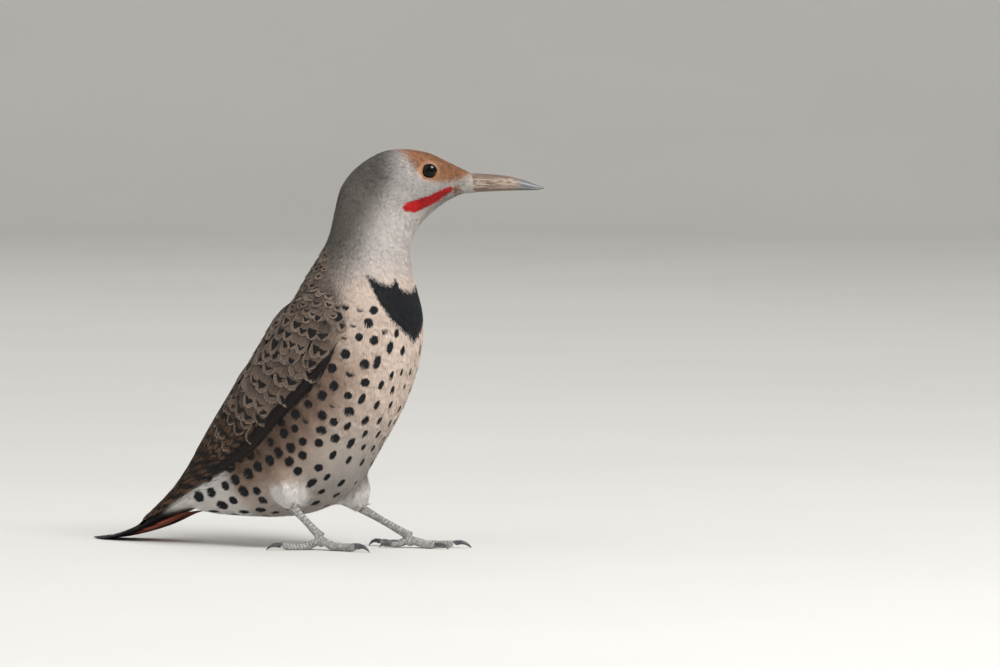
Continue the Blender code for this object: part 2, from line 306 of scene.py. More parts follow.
class Surface:
    """A closed surface to lay things on."""

    def __init__(self, mesh):
        faces = [face.vertices for face in mesh.polygons]
        self.tree = BVHTree.FromPolygons([vertex.co for vertex in mesh.vertices], faces)

    def nearest(self, points):
        """Nearest places on the surface, and their outward directions."""
        find = self.tree.find_nearest
        return np.array([find(Vector(point))[:2] for point in points]).transpose(1, 0, 2)

    def from_outside(self, centres, directions, reach=0.07):
        """Where rays from outside towards each centre first meet the surface."""
        hits = []
        for centre, direction in zip(centres, directions):
            hit = self.tree.ray_cast(Vector(centre + direction * reach), Vector(-direction), reach)
            if hit[0] is None:
                hit = self.tree.find_nearest(Vector(centre))
            hits.append(hit[:2])
        return np.array(hits).transpose(1, 0, 2)


class Bird:
    """Everything that the pieces share: directions, the outer surface, wings and spots."""

    def __init__(self):
        self.head = Head()
        self.line = Midline(self.head)
        # The outer surface of the plumage, as the solids give it, with no gaps between them.
        self.form = fused((*FLESH, "eye_left", "eye_right"), voxel=1.0 * MM, smoothing=6)
        self.outer = Surface(self.form)
        self.wings = {side: Wing(self.line, side) for side in SIDES}
        self.spots = spot_plan(self)

    def ray(self, distance, angle):
        """Places on the outer surface at distances along the body and angles round it."""
        distance, angle = np.broadcast_arrays(np.atleast_1d(distance), np.atleast_1d(angle))
        line = self.line
        centres, dorsal, side = (line.at(distance, rows) for rows in (line.points, line.dorsal, line.side))
        out = unit(dorsal * np.cos(angle)[:, None] + side * np.sin(angle)[:, None])
        return self.outer.from_outside(centres, out)

    def radius(self, distance, angle):
        """How far the outer surface lies from the midline at one place."""
        place, _ = self.ray(distance, angle)
        return np.linalg.norm(place[0] - self.line.at(distance, self.line.points))


def cad_copy(mesh, *nodes):
    """Adds copies of solids to a bmesh, with their doubled points merged."""
    for node in nodes:
        mesh.from_mesh(frame["nodes"][node].data)
    bmesh.ops.remove_doubles(mesh, verts=mesh.verts, dist=0.005 * MM)


def placed(name, data):
    """A smooth-shaded object of a mesh, in the scene."""
    data.shade_smooth()
    item = bpy.data.objects.new(name, data)
    bpy.context.scene.collection.objects.link(item)
    return item


def made(name, mesh):
    """A smooth-shaded object from a bmesh."""
    data = bpy.data.meshes.new(name)
    mesh.to_mesh(data)
    mesh.free()
    return placed(name, data)


def fused(nodes, voxel, smoothing):
    """One smooth closed mesh round several solids."""
    mesh = bmesh.new()
    cad_copy(mesh, *nodes)
    return remeshed(mesh, voxel, smoothing)


def remeshed(mesh, voxel, smoothing):
    """A bmesh's shapes as one closed mesh of even faces."""
    item = made("remeshed", mesh)
    remesh = item.modifiers.new("remesh", "REMESH")
    remesh.mode = "VOXEL"
    remesh.voxel_size = voxel
    smooth = item.modifiers.new("smooth", "SMOOTH")
    smooth.factor = 0.5
    smooth.iterations = smoothing
    graph = bpy.context.evaluated_depsgraph_get()
    closed = bpy.data.meshes.new_from_object(item.evaluated_get(graph))
    bpy.data.objects.remove(item)
    return closed


def opened(data):
    """A bmesh of a mesh, with the places and the directions of its points."""
    mesh = bmesh.new()
    mesh.from_mesh(data)
    mesh.normal_update()
    return mesh, *(np.array([getattr(v, label) for v in mesh.verts]) for label in ("co", "normal"))


def moved(mesh, points, softness=0.0):
    """Puts a bmesh's points at new places, and may smooth it a little."""
    for vertex, point in zip(mesh.verts, points):
        vertex.co = point
    if softness:
        bmesh.ops.smooth_vert(mesh, verts=mesh.verts, factor=softness, use_axis_x=True, use_axis_y=True,
                              use_axis_z=True)
    return mesh


# --- markings

# The black crescent: degrees round from the front, and its lower and upper edges as shares of
# the trunk's height.
BIB = ((0, 0.690, 0.880), (14, 0.722, 0.890), (28, 0.765, 0.906), (36, 0.800, 0.914), (43, 0.838, 0.922),
       (50, 0.893, 0.938), (57, 0.942, 0.948))
# A tuft of the crescent that stands up on the bird's right: degrees, width and height, as above.
BIB_TUFT = (-21, 4, 0.034)
# Cheek stripe: ahead of the eye, above it, and half width, in mm, from the bill backwards.
STRIPE = ((10.2, -8.8, 1.5), (6.4, -11.0, 2.0), (0.0, -14.4, 2.5), (-7.3, -17.1, 3.2), (-10.6, -17.6, 2.3))
# Lower edge of the brown cap: ahead of the eye and above it, in mm, from back to front.
CAP_EDGE = ((-18.0, 14.0), (-13.3, 9.0), (-9.4, 5.0), (-5.5, -0.2), (-2.9, -4.0), (4.9, -5.2),
            (10.0, -5.2), (15.3, -3.8), (19.0, -2.2), (24.0, -1.0))
CAP_BACK = -16.0
# Brown spot at the corner of the mouth: ahead, above and radius, in mm.
GAPE_PATCH = (13.4, -9.1, 1.8)
# Distance inside a marking where it can't be, in mm.
OUTSIDE = -9.0
# A place beyond the edge of any spot, and the veil of a spot that shows whole.
NO_SPOT, UNVEILED = 9.0, 3.0
# How far the spots reach to both sides of the middle of the belly, in radians.
SPOTS_REACH = 2.0


def bib_distance(points):
    """How far inside the black crescent each point lies, in mm."""
    low, high = box("trunk")
    centre = low + (high - low) * np.array((0.77, 0.5, 0.0))
    turn = np.degrees(np.arctan2(points[:, 1] - centre[1], points[:, 0] - centre[0]))
    out = np.abs(turn)
    degrees, *edges = np.array(BIB).T
    lower, upper = (np.interp(out, degrees, edge) for edge in edges)
    middle, wide, high_tuft = BIB_TUFT
    upper = upper + high_tuft * np.exp(-((turn - middle) / wide) ** 2)
    share = (points[:, 2] - low[2]) / (high - low)[2]
    inside = np.minimum(share - lower, upper - share) * (high - low)[2] / MM
    return inside * 0.8 - np.clip(out - degrees[-1], 0.0, None) * 0.5


def stripe_distance(bird, points):
    """How far inside the red cheek stripe each point lies, in mm."""
    ahead, side, up = bird.head.local_mm(points)
    place = np.stack([ahead, up], 1)
    best = np.full(len(points), -99.0)
    for start, end in zip(np.array(STRIPE), np.array(STRIPE)[1:]):
        share, gap = beside_line(place, start[:2], end[:2])
        best = np.maximum(best, start[2] + (end[2] - start[2]) * share - gap)
    return np.where(np.abs(side) > 3.0, best, OUTSIDE)


def cap_distance(bird, points):
    """How far inside the brown cap, brow and lores each point lies, in mm."""
    ahead, side, up = bird.head.local_mm(points)
    edge = np.interp(ahead, *np.array(CAP_EDGE).T)
    # Towards the nape the cap fades over a broader stretch.
    cap = np.minimum((up - edge) * np.where(ahead < -5.0, 0.45, 1.0), (ahead - CAP_BACK) * 0.4)
    gape = GAPE_PATCH[2] - np.hypot(ahead - GAPE_PATCH[0], up - GAPE_PATCH[1])
    return np.maximum(cap, np.where(np.abs(side) > 1.5, gape, OUTSIDE))


def marks_of(bird, points):
    """How far inside the crescent, the cheek stripe and the cap each point lies, in mm."""
    return np.stack([bib_distance(points), stripe_distance(bird, points), cap_distance(bird, points)], 1)


def staggered(row, step, limit):
    """Angles to both sides of the middle, up to about a limit. Every other row is shifted."""
    last = int(limit / step) + 1
    return [(k + 0.5 * (row % 2)) * step for k in range(-last, last + 1)]


def spot_plan(bird):
    """Centres, directions and half sizes of the black spots on breast, flanks and belly."""
    rng = np.random.default_rng(11)
    named = bird.line.named
    first, last = named["undertail"] - 7 * MM, named["shoulder"] + 2 * MM
    distances, angles, sizes = [], [], []
    distance, row = first, 0
    while distance < last:
        share = (distance - first) / (last - first)
        gap = np.interp(share, (0.0, 0.15, 0.35, 0.8, 1.0), (10.0, 9.0, 7.6, 8.4, 7.6)) * MM
        step = 1.02 * gap / bird.radius(distance, 2.3)
        for angle in staggered(row, step, SPOTS_REACH):
            if abs(angle) > SPOTS_REACH:
                continue
            radius = np.interp(abs(angle), (0.0, 0.3, 0.75, 2.0), (1.35, 1.85, 2.55, 2.6))
            radius *= np.interp(share, (0.0, 0.15, 0.3, 0.5, 1.0), (1.2, 1.2, 1.1, 1.0, 0.95))
            distances.append(distance + rng.normal(0, 0.9) * MM)
            angles.append(math.pi + angle + rng.normal(0, 0.12) * step)
            sizes.append(radius * rng.uniform(0.82, 1.12))
        distance += gap * 0.93
        row += 1
    distances, angles, sizes = np.array((distances, angles, sizes))
    places, normals = bird.ray(distances, angles)
    keep = bib_distance(places) < -3.2
    for low, high in thighs():
        keep &= sizes_of(places - (low + high) / 2) > (high - low)[2] * 0.55
    lie = lie_of(bird, places, normals, bird.line.locate(places)[2])
    from_middle = np.abs(angles - math.pi)
    middle = from_middle < 0.65
    # Some spots show only their lower half, most of them near the wing's front.
    upper_side = eased((distances - named["breast"]) / (15 * MM)) * (from_middle > 1.1)
    moon = rng.random(len(sizes)) < 0.1 + 0.6 * upper_side + 0.3 * (from_middle > 1.2)
    moon &= distances > named["vent"]
    plan = {
        "place": places,
        "lie": lie,
        "side": unit(np.cross(normals, lie)),
        "long": sizes * np.where(middle, 1.45, 1.08),
        "wide": sizes * np.where(middle, 0.8, 1.0),
        "veil": np.where(moon, rng.uniform(-0.45, 0.25, len(sizes)), UNVEILED),
    }
    return {name: rows[keep] for name, rows in plan.items()}


def spot_offset(bird, points, number):
    """Offset from a spot's middle, scaled so that its edge lies at 1, and how far it is veiled."""
    spot = {name: rows[number] for name, rows in bird.spots.items()}
    away = (points - spot["place"]) / MM
    across = (away * spot["side"]).sum(-1) / spot["wide"]
    along = (away * spot["lie"]).sum(-1) / spot["long"]
    return np.stack([across, along, spot["veil"]], -1)


def lie_of(bird, points, normals, index):
    """The direction in which the plumage lies at each place of the surface."""
    head = bird.head
    lie = -bird.line.along[index]
    down = unit(np.array((0.25, 0.0, -1.0)))
    for low, high in thighs():
        away = sizes_of(points - (low + high) / 2) / ((high - low)[1] * 0.55)
        lie = mixed(lie, down, np.exp(-away ** 4))
    for eye in head.eyes.values():
        away = points - eye
        away -= (away @ head.side)[:, None] * head.side
        out = unit(away)
        inwards = np.minimum((lie * out).sum(1), 0.0)
        near = np.clip(1.0 - (sizes_of(away) - 4.0 * MM) / (5.0 * MM), 0.0, 1.0)
        same_side = ((points - head.middle) @ head.side) * ((eye - head.middle) @ head.side) > 0
        lie = lie - out * (inwards * near * same_side)[:, None]
    return level(lie, normals)


def flecks_and_nape_shade_of(bird, reach, angle):
    """What share of the feathers has a dark arc or streak, at each place of the plumage."""
    named = bird.line.named
    from_back = np.abs(angle)
    back = ramp(reach, named["throat"], named["shoulder"]) * eased((1.95 - from_back) / 0.6) * 0.36
    # The dark streaks at the nape are painted shade between raised feathers.
    nape = 0.34 * eased((reach - named["throat"]) / (15 * MM)) * eased((1.45 - from_back) / 0.7)
    nape = nape * eased((named["crown"] - reach) / (15 * MM))
    cheek = 0.07 * eased((reach - named["throat"]) / (10 * MM))
    return np.maximum(np.maximum(back, nape), cheek)


def waves(points, long):
    """Smooth values from -1 to 1 that change over about that length, in mm."""
    return np.sin(points @ np.array((0.55, 0.75, 0.38)) * math.tau / (long * MM))


def tone_of(bird, looks, points, reach, angle):
    """The plumage's ground colour at each place, without its black, red and brown marks, but with painted
    shade along the wing and under the tail.
    """
    named = bird.line.named
    from_back = np.abs(angle)
    belly = eased((from_back - 1.9) / 0.9)
    upper = ramp(reach, named["back"], named["breast"])
    body = mixed(looks.flank, looks.breast, np.maximum(belly, 0.75 * upper))
    body = mixed(body, looks.belly, ramp(reach, named["back"], named["flank"]) * belly)
    # Along the wing the sides of the body are painted darker, in soft random patches, as shade under the
    # wing.
    under_wing_shade = 1.0 - eased((from_back - 1.4) / 1.1)
    patchy = waves(points, 14) * waves(points[:, ::-1], 11)
    dark = np.clip(0.95 * under_wing_shade + 0.22 * patchy, 0.0, 1.0)
    body = mixed(body, looks.flank_painted_shade, dark * (1.0 - 0.85 * upper))
    end = eased((named["rump"] - 5 * MM - reach) / (10 * MM))
    # Behind the rump the plumage turns white, kept a little short of full white as painted shade under the
    # tail.
    body = mixed(body, looks.white, 0.88 * end)
    ahead, _, up = bird.head.local_mm(points)
    back_of_neck = eased((2.25 - from_back) / 1.3)
    neck = mixed(looks.throat, looks.nape, back_of_neck)
    cheek = eased((ahead + 26.0) / 14.0)
    neck = mixed(neck, looks.cheek, cheek * (1.0 - eased((-16.0 - up) / 6.0)))
    low_neck = ramp(reach, named["neck"], named["shoulder"])
    neck = mixed(neck, mixed(looks.breast, looks.nape, back_of_neck * 0.8), low_neck)
    tone = mixed(body, neck, ramp(reach, named["breast"], named["neck_base"]))
    cloak = eased((cloaked(bird, reach, angle) + 0.2) / 0.3)
    tone = mixed(tone, looks.back, cloak * low_neck * (1.0 - end))
    nostril = eased((ahead - 9.0) / 5.0) * (1.0 - eased((np.abs(up + 6.0) - 1.4) / 1.4))
    tone = mixed(tone, looks.nostril, nostril)
    thigh = np.zeros(len(points))
    for low, high in thighs():
        foot = low + (high - low) * np.array((0.6, 0.5, 0.2))
        away = sizes_of(points - foot) / (high - low)[2] / 0.6 + waves(points, 4) * 0.16
        thigh = np.maximum(thigh, 1.0 - eased((away - 0.5) / 0.35))
    return mixed(tone, looks.white, thigh)


# --- meshes from arrays


def joined_mesh(name, points, faces, attributes, patches):
    """A piece from arrays: points, lists of equal-sided faces, point attributes and a bake map."""
    mesh = bpy.data.meshes.new(name)
    mesh.vertices.add(len(points))
    mesh.vertices.foreach_set("co", np.asarray(points, np.float32).ravel())
    corners = np.concatenate([rows.ravel() for rows in faces])
    counts = np.concatenate([np.full(len(rows), rows.shape[1]) for rows in faces])
    mesh.loops.add(len(corners))
    mesh.loops.foreach_set("vertex_index", corners.astype(np.int32))
    mesh.polygons.add(len(counts))
    mesh.polygons.foreach_set("loop_start", (np.cumsum(counts) - counts).astype(np.int32))
    mesh.update(calc_edges=True)
    add_attributes(mesh, attributes)
    layer = mesh.uv_layers.new(name="OFBake")
    layer.data.foreach_set("uv", np.asarray(patches[corners], np.float32).ravel())
    return placed(name, mesh)


def bake_map(bird, reach, angle, along, across):
    """A small patch for each feather, at its root's place on an unwrap of the body."""
    root = 0.01 + 0.98 * np.stack([reach / bird.line.reach[-1], angle / math.tau + 0.5], 1)
    patch = np.stack([along - 0.5, np.clip(across, -1, 1) * 0.5], -1) * 0.003
    return (root[:, None] + patch.reshape(len(root), -1, 2)).reshape(-1, 2)


def add_attributes(mesh, attributes):
    """Writes vectors, and colours with an alpha, to the mesh's points."""
    for label, rows in attributes.items():
        kind, field = ("FLOAT_COLOR", "color") if rows.shape[1] == 4 else ("FLOAT_VECTOR", "vector")
        data = mesh.attributes.new(label, kind, "POINT").data
        data.foreach_set(field, np.asarray(rows, np.float32).ravel())


def coloured(rows, alpha=1.0):
    """Colours with an alpha."""
    return np.concatenate([rows, np.broadcast_to(alpha, (len(rows),))[:, None]], 1)


def scattered(mesh, count, seed, weight):
    """Random places on a mesh, evenly by area times weight(centres, normals)."""
    rng = np.random.default_rng(seed)
    mesh.calc_loop_triangles()
    corners = np.empty(len(mesh.loop_triangles) * 3, np.int32)
    mesh.loop_triangles.foreach_get("vertices", corners)
    a, b, c = points_of(mesh)[corners.reshape(-1, 3)].transpose(1, 0, 2)
    cross = np.cross(b - a, c - a)
    area = sizes_of(cross)
    wanted = area * weight((a + b + c) / 3, unit(cross))
    pick = rng.choice(len(wanted), count, p=wanted / wanted.sum())
    u, v = rng.random(count), rng.random(count)
    over = u + v > 1
    u[over], v[over] = 1 - u[over], 1 - v[over]
    return a[pick] + (b - a)[pick] * u[:, None] + (c - a)[pick] * v[:, None]


# --- tufts

# A blade's rows as shares of its length, and the row and side of each of its five points.
BLADE_ROWS = np.array((0.0, 0.6, 1.0))
POINT_ROWS = [0, 0, 1, 1, 2]
POINT_EDGES = np.array((-1.0, 1.0, -1.0, 1.0, -1.0))
# Radius of the curve across a fan of blades.
ROUNDING = 0.03
# Small feathers by kind: number of blades, width of a blade and of the fan in mm, how far the
# blades stand up in mm, how much they differ in length, and how far the feathers swing.
FANS = {
    "head": (9, 0.21, 1.15, 0.05, 0.25, 0.12),
    "bristle": (6, 0.17, 0.8, 0.06, 0.4, 0.12),
    "neck": (10, 0.27, 1.6, 0.06, 0.25, 0.12),
    "shoulder": (10, 0.4, 2.2, 0.1, 0.4, 0.25),
    "body": (11, 0.4, 2.3, 0.08, 0.25, 0.12),
    "thigh": (9, 0.34, 2.2, 0.25, 0.5, 0.2),
}


def walked(surface, place, normal, heading, long, steps):
    """Paths over a surface from each place: their places, normals and sides."""
    rows = [(place, normal, unit(np.cross(normal, heading)))]
    for _ in range(steps):
        place, normal = surface.nearest(place + heading * (long / steps)[:, None])
        heading = level(heading, normal)
        rows.append((place, normal, unit(np.cross(normal, heading))))
    return np.array(rows).transpose(1, 2, 0, 3)


def coat(bird, looks, name, finish, kind, count, seed, weight, size, depth, form=None, lie=None):
    """A piece of small feathers: each is a fan of narrow pointed blades that lies on the surface.

    Weight says where they grow, size how long they are, and depth how deep their roots lie. Form
    is the surface and lie their direction, where these aren't the body's own.
    """
    blades, width, fan, lift, ragged, turn = FANS[kind]
    width, fan = width * MM, fan * MM
    surface = bird.outer if form is None else Surface(form)
    rng = np.random.default_rng(seed)
    start, normal = surface.nearest(scattered(form or bird.form, count, seed, weight))
    reach, angle, index = bird.line.locate(start)
    heading = lie(normal) if lie else lie_of(bird, start, normal, index)
    heading = unit(heading + np.cross(normal, heading) * rng.normal(0.0, turn, count)[:, None])
    size = (size(start) if callable(size) else size) * rng.uniform(0.82, 1.15, count)
    paths = walked(surface, start, normal, heading, size, 2)

    # Along each blade (s), across the fan (x) and above the surface (h), as arrays over feathers,
    # blades and rows.
    across = np.linspace(-1, 1, blades)[None] + rng.normal(0, 0.12, (count, blades))
    short = 1.0 - 0.28 * across ** 2 * rng.uniform(0.5, 1.0, (count, blades))
    short = short - ragged * rng.random((count, blades)) * 0.6
    s = BLADE_ROWS * short[..., None]
    x = across[..., None] * (0.25 + 0.75 * s ** 0.8) * fan
    x = x + rng.normal(0, 0.1, (count, blades, 1)) * fan * s
    rise = rng.normal(0, lift, (count, blades, 1)) * MM * s ** 2
    rise = rise + rng.normal(0, lift, (count, 1, 1)) * MM * s
    h = -depth * (1.0 - s) ** 1.4 - 0.12 * MM + rise - x ** 2 / (2 * ROUNDING)
    half = width / 2 * np.interp(BLADE_ROWS, (0.0, 0.5, 1.0), (0.8, 1.0, 0.0))
    half = half * rng.uniform(0.8, 1.25, (count, blades, 1))
    roll = rng.normal(0, 0.22, (count, blades, 1))
    s, x, h, half = (rows[..., POINT_ROWS] for rows in (s, x, h, half))
    half = half * POINT_EDGES

    # The blades follow the parabola through a path's three rows.
    parts = np.stack([2 * (s - 0.5) * (s - 1), -4 * s * (s - 1), 2 * s * (s - 0.5)])[..., None]
    places, normals, sides = (
        sum(row[:, None, None] * part for row, part in zip(rows.transpose(1, 0, 2), parts)) for rows in paths
    )
    points = places + unit(sides) * (x + half)[..., None] + unit(normals) * (h + half * roll)[..., None]
    chance, blade_chance = rng.random(count), rng.random((count, blades))
    first = np.arange(count * blades)[:, None] * len(POINT_ROWS)
    each = blades * len(POINT_ROWS)
    tip = points[:, blades // 2, -1]
    points = points.reshape(-1, 3)
    tip_reach, tip_angle, _ = bird.line.locate(tip)
    tone = coloured(tone_of(bird, looks, tip, tip_reach, tip_angle), flecks_and_nape_shade_of(bird, tip_reach, tip_angle))
    spot = np.repeat(closest(tip, bird.spots["place"]), each)
    attributes = {
        "tone": np.repeat(tone, each, 0),
        "marks": marks_of(bird, points),
        "spot": spot_offset(bird, points, spot),
        "strand": np.stack([s.ravel(), np.repeat(chance, each),
                            np.repeat(blade_chance.ravel(), len(POINT_ROWS))], 1),
    }
    faces = [first + np.array([[0, 1, 3, 2]]), first + np.array([[2, 3, 4]])]
    patches = bake_map(bird, reach, angle, s, x / fan)
    return ride(joined_mesh(name, points, faces, attributes, patches), finish)


# --- node helpers


def feed(tree, socket, value):
    """Gives a socket a number, a colour or what another node puts out."""
    if isinstance(value, Value):
        tree.links.new(value.socket, socket)
    elif isinstance(value, (int, float)):
        socket.default_value = value
    else:
        socket.default_value = (*tuple(value)[:3], 1.0)[:len(socket.default_value)]


def spaced(values):
    """Values by the names of sockets, which have spaces between their words."""
    return {label.replace("_", " "): value for label, value in values.items()}


def new_node(tree, kind, values, output=0, **choices):
    """What a new node puts out, after its choices are made and its sockets fed."""
    node = tree.nodes.new(f"ShaderNode{kind}")
    for label, choice in choices.items():
        setattr(node, label, choice)
    for label, value in values.items():
        feed(tree, node.inputs[label], value)
    return Value(tree, node.outputs[output])


class Value:
    """What a node puts out. It adds, multiplies and compares by way of more nodes."""

    def __init__(self, tree, socket):
        self.tree, self.socket = tree, socket

    def math(self, operation, *others):
        """The result of a Math node that starts from this value."""
        return new_node(self.tree, "Math", dict(enumerate((self, *others))), operation=operation)

    def __add__(self, other):
        return self.math("ADD", other)

    def __sub__(self, other):
        return self.math("SUBTRACT", other)

    def __mul__(self, other):
        return self.math("MULTIPLY", other)

    def __rsub__(self, other):
        return self * -1.0 + other

    def __abs__(self):
        return self.math("ABSOLUTE")

    __radd__, __rmul__ = __add__, __mul__

    def most(self, other):
        """The larger of the two."""
        return self.math("MAXIMUM", other)

    def step(self, low, high):
        """0 below low, 1 above high, and smooth between."""
        values = {"Value": self, "From Min": low, "From Max": high}
        return new_node(self.tree, "MapRange", values, interpolation_type="SMOOTHSTEP")


class Nodes:
    """The nodes of a material or a group, added one after another."""

    def __init__(self, tree):
        self.tree = tree

    def add(self, kind, output=0, **values):
        """What a new node of that kind puts out, with its sockets fed by name."""
        return new_node(self.tree, kind, spaced(values), output)

    def read(self, label, output="Vector"):
        """A point attribute."""
        return new_node(self.tree, "Attribute", {}, output, attribute_name=label)

    def parts(self, vector):
        """The three numbers of a vector."""
        node = self.add("SeparateXYZ", Vector=vector).socket.node
        return [Value(self.tree, socket) for socket in node.outputs]

    def noise(self, scale, detail=2.0, place=None):
        """Soft random values round 0, on the piece's own coordinates if no other are given."""
        place = place or self.add("TexCoord", "Object")
        return self.add("TexNoise", Vector=place, Scale=scale, Detail=detail) - 0.5

    def mix(self, share, first, second):
        """A blend of two colours."""
        return new_node(self.tree, "Mix", {0: share, 6: first, 7: second}, 2, data_type="RGBA")

    def shaded(self, tone, light):
        """A colour made lighter or darker."""
        return new_node(self.tree, "VectorMath", {"Vector": tone, "Scale": light}, operation="SCALE")

    def bump(self, height, strength, distance):
        """A normal raised by a height."""
        return self.add("Bump", Height=height, Strength=strength, Distance=distance)

    def group(self, tree, **values):
        """A group with its own values: what it puts out, by name."""
        node = new_node(self.tree, "Group", spaced(values), node_tree=tree).socket.node
        return {socket.name: Value(self.tree, socket) for socket in node.outputs}


def new_finish(name):
    """A new material: itself, its nodes, and a function that sets its shader's sockets."""
    material = bpy.data.materials.new(name)
    material.use_nodes = True
    tree = material.node_tree

    def surface(**values):
        for label, value in spaced(values).items():
            feed(tree, tree.nodes["Principled BSDF"].inputs[label], value)

    return material, Nodes(tree), surface


SOCKETS = {"value": "NodeSocketFloat", "vector": "NodeSocketVector", "colour": "NodeSocketColor"}


def shader_group(name, inputs, outputs, build):
    """The node group of that name, built from its inputs when it is first asked for."""
    if name in bpy.data.node_groups:
        return bpy.data.node_groups[name]
    tree = bpy.data.node_groups.new(name, "ShaderNodeTree")
    for direction, sockets in (("INPUT", inputs), ("OUTPUT", outputs)):
        for label, kind in sockets.items():
            default = 0.0 if isinstance(kind, str) else kind
            kind = kind if isinstance(kind, str) else "value"
            socket = tree.interface.new_socket(label, in_out=direction, socket_type=SOCKETS[kind])
            if kind == "value":
                socket.default_value = default
    inlet, outlet = tree.nodes.new("NodeGroupInput"), tree.nodes.new("NodeGroupOutput")
    given = {socket.name: Value(tree, socket) for socket in inlet.outputs if socket.name}
    for label, value in build(Nodes(tree), given).items():
        feed(tree, outlet.inputs[label], value)
    return tree


def mottle_group():
    """Two colours in soft patches, for horn, skin and floor alike."""

    def build(nodes, given):
        patches = nodes.noise(given["Scale"], 3.0)
        share = (patches * given["Contrast"]).step(-0.2, 0.2)
        return {"Color": nodes.mix(share, given["Dark"], given["Light"]), "Height": patches}

    return shader_group("mottle", {"Dark": "colour", "Light": "colour", "Scale": 800.0, "Contrast": 1.0},
                        {"Color": "colour", "Height": "value"}, build)


# --- plumage finishes


def plumage_group(looks):
    """Ground colour, marks and the fine shade of single strands, for skin and coat alike."""

    def build(nodes, given):
        ragged, broad = nodes.noise(900.0, 3.0), nodes.noise(160.0)
        bib, stripe, cap = nodes.parts(given["Marks"])
        across, along, veil = nodes.parts(given["Spot"])
        reach, tuft, blade = nodes.parts(given["Strand"])
        stray = blade - 0.5
        chance = (tuft + blade - 1.0) * given["Variation"]
        root = reach.step(0.0, 0.75) * (1.0 - given["Root Shade"]) + given["Root Shade"]
        light = (chance + broad * 0.3 + 1.0) * root
        brown = nodes.mix((chance * 1.6 + broad * 0.5).step(-0.4, 0.12), looks.cap_dark, looks.cap)
        tone = nodes.mix((cap + ragged * 3.0 + stray * 2.6).step(-1.3, 1.3), given["Tone"], brown)
        tone = nodes.shaded(tone, light)

        # Dark arcs across the tips of some feathers, and dark single strands, which at the nape are painted
        # shade between raised feathers.
        arc = reach.step(0.5, 0.62) * (1.0 - reach.step(0.84, 0.92))
        arc = (given["Fleck"] + tuft - 1.0).step(-0.03, 0.03) * arc * given["Fleck"].step(0.3, 0.4)
        streak = (given["Fleck"] * 0.75 + blade - 1.0).step(-0.03, 0.03) * reach.step(0.3, 0.6)
        fleck = arc.most(streak * 0.7)

        # Black crescent and round spots, with a few strands astray at their edges.
        away = (across * across + along * along).math("SQRT") + ragged * 0.45 + stray * 0.3
        spot = 1.0 - away.step(0.86, 1.06)
        spot = spot * (along + veil + ragged * 0.6 + stray * 0.5).step(-0.15, 0.45)
        bib = (bib + ragged * 2.5 + stray * 2.4).step(-0.3, 0.3)
        dark = bib.most(spot).most(fleck)
        black = nodes.mix(chance.step(-0.2, 0.25), looks.black, looks.black_sheen)
        tone = nodes.mix(dark, tone, black)
        red = nodes.mix(broad.step(-0.15, 0.2), looks.stripe_dark, looks.stripe)
        red = nodes.mix(0.7, red, nodes.shaded(red, light))
        tone = nodes.mix((stripe + ragged * 2.0 + stray * 0.9).step(-0.3, 0.4), tone, red)
        return {"Color": tone, "Dark": dark}

    return shader_group(
        "plumage",
        {"Tone": "colour", "Fleck": "value", "Marks": "vector", "Spot": "vector", "Strand": "vector",
         "Root Shade": 0.45, "Variation": 0.22},
        {"Color": "colour", "Dark": "value"}, build)


def plumage_material(looks, name, root_shade=0.5, variation=0.22):
    """Soft feathers in the plumage's colours."""
    material, nodes, surface = new_finish(name)
    feathers = nodes.group(
        plumage_group(looks), Tone=nodes.read("tone", "Color"), Fleck=nodes.read("tone", "Alpha"),
        Marks=nodes.read("marks"), Spot=nodes.read("spot"), Strand=nodes.read("strand"),
        Root_Shade=root_shade, Variation=variation)
    surface(Base_Color=feathers["Color"], Roughness=0.72, Specular_IOR_Level=0.2, Sheen_Weight=0.1,
            Sheen_Roughness=0.5)
    return material


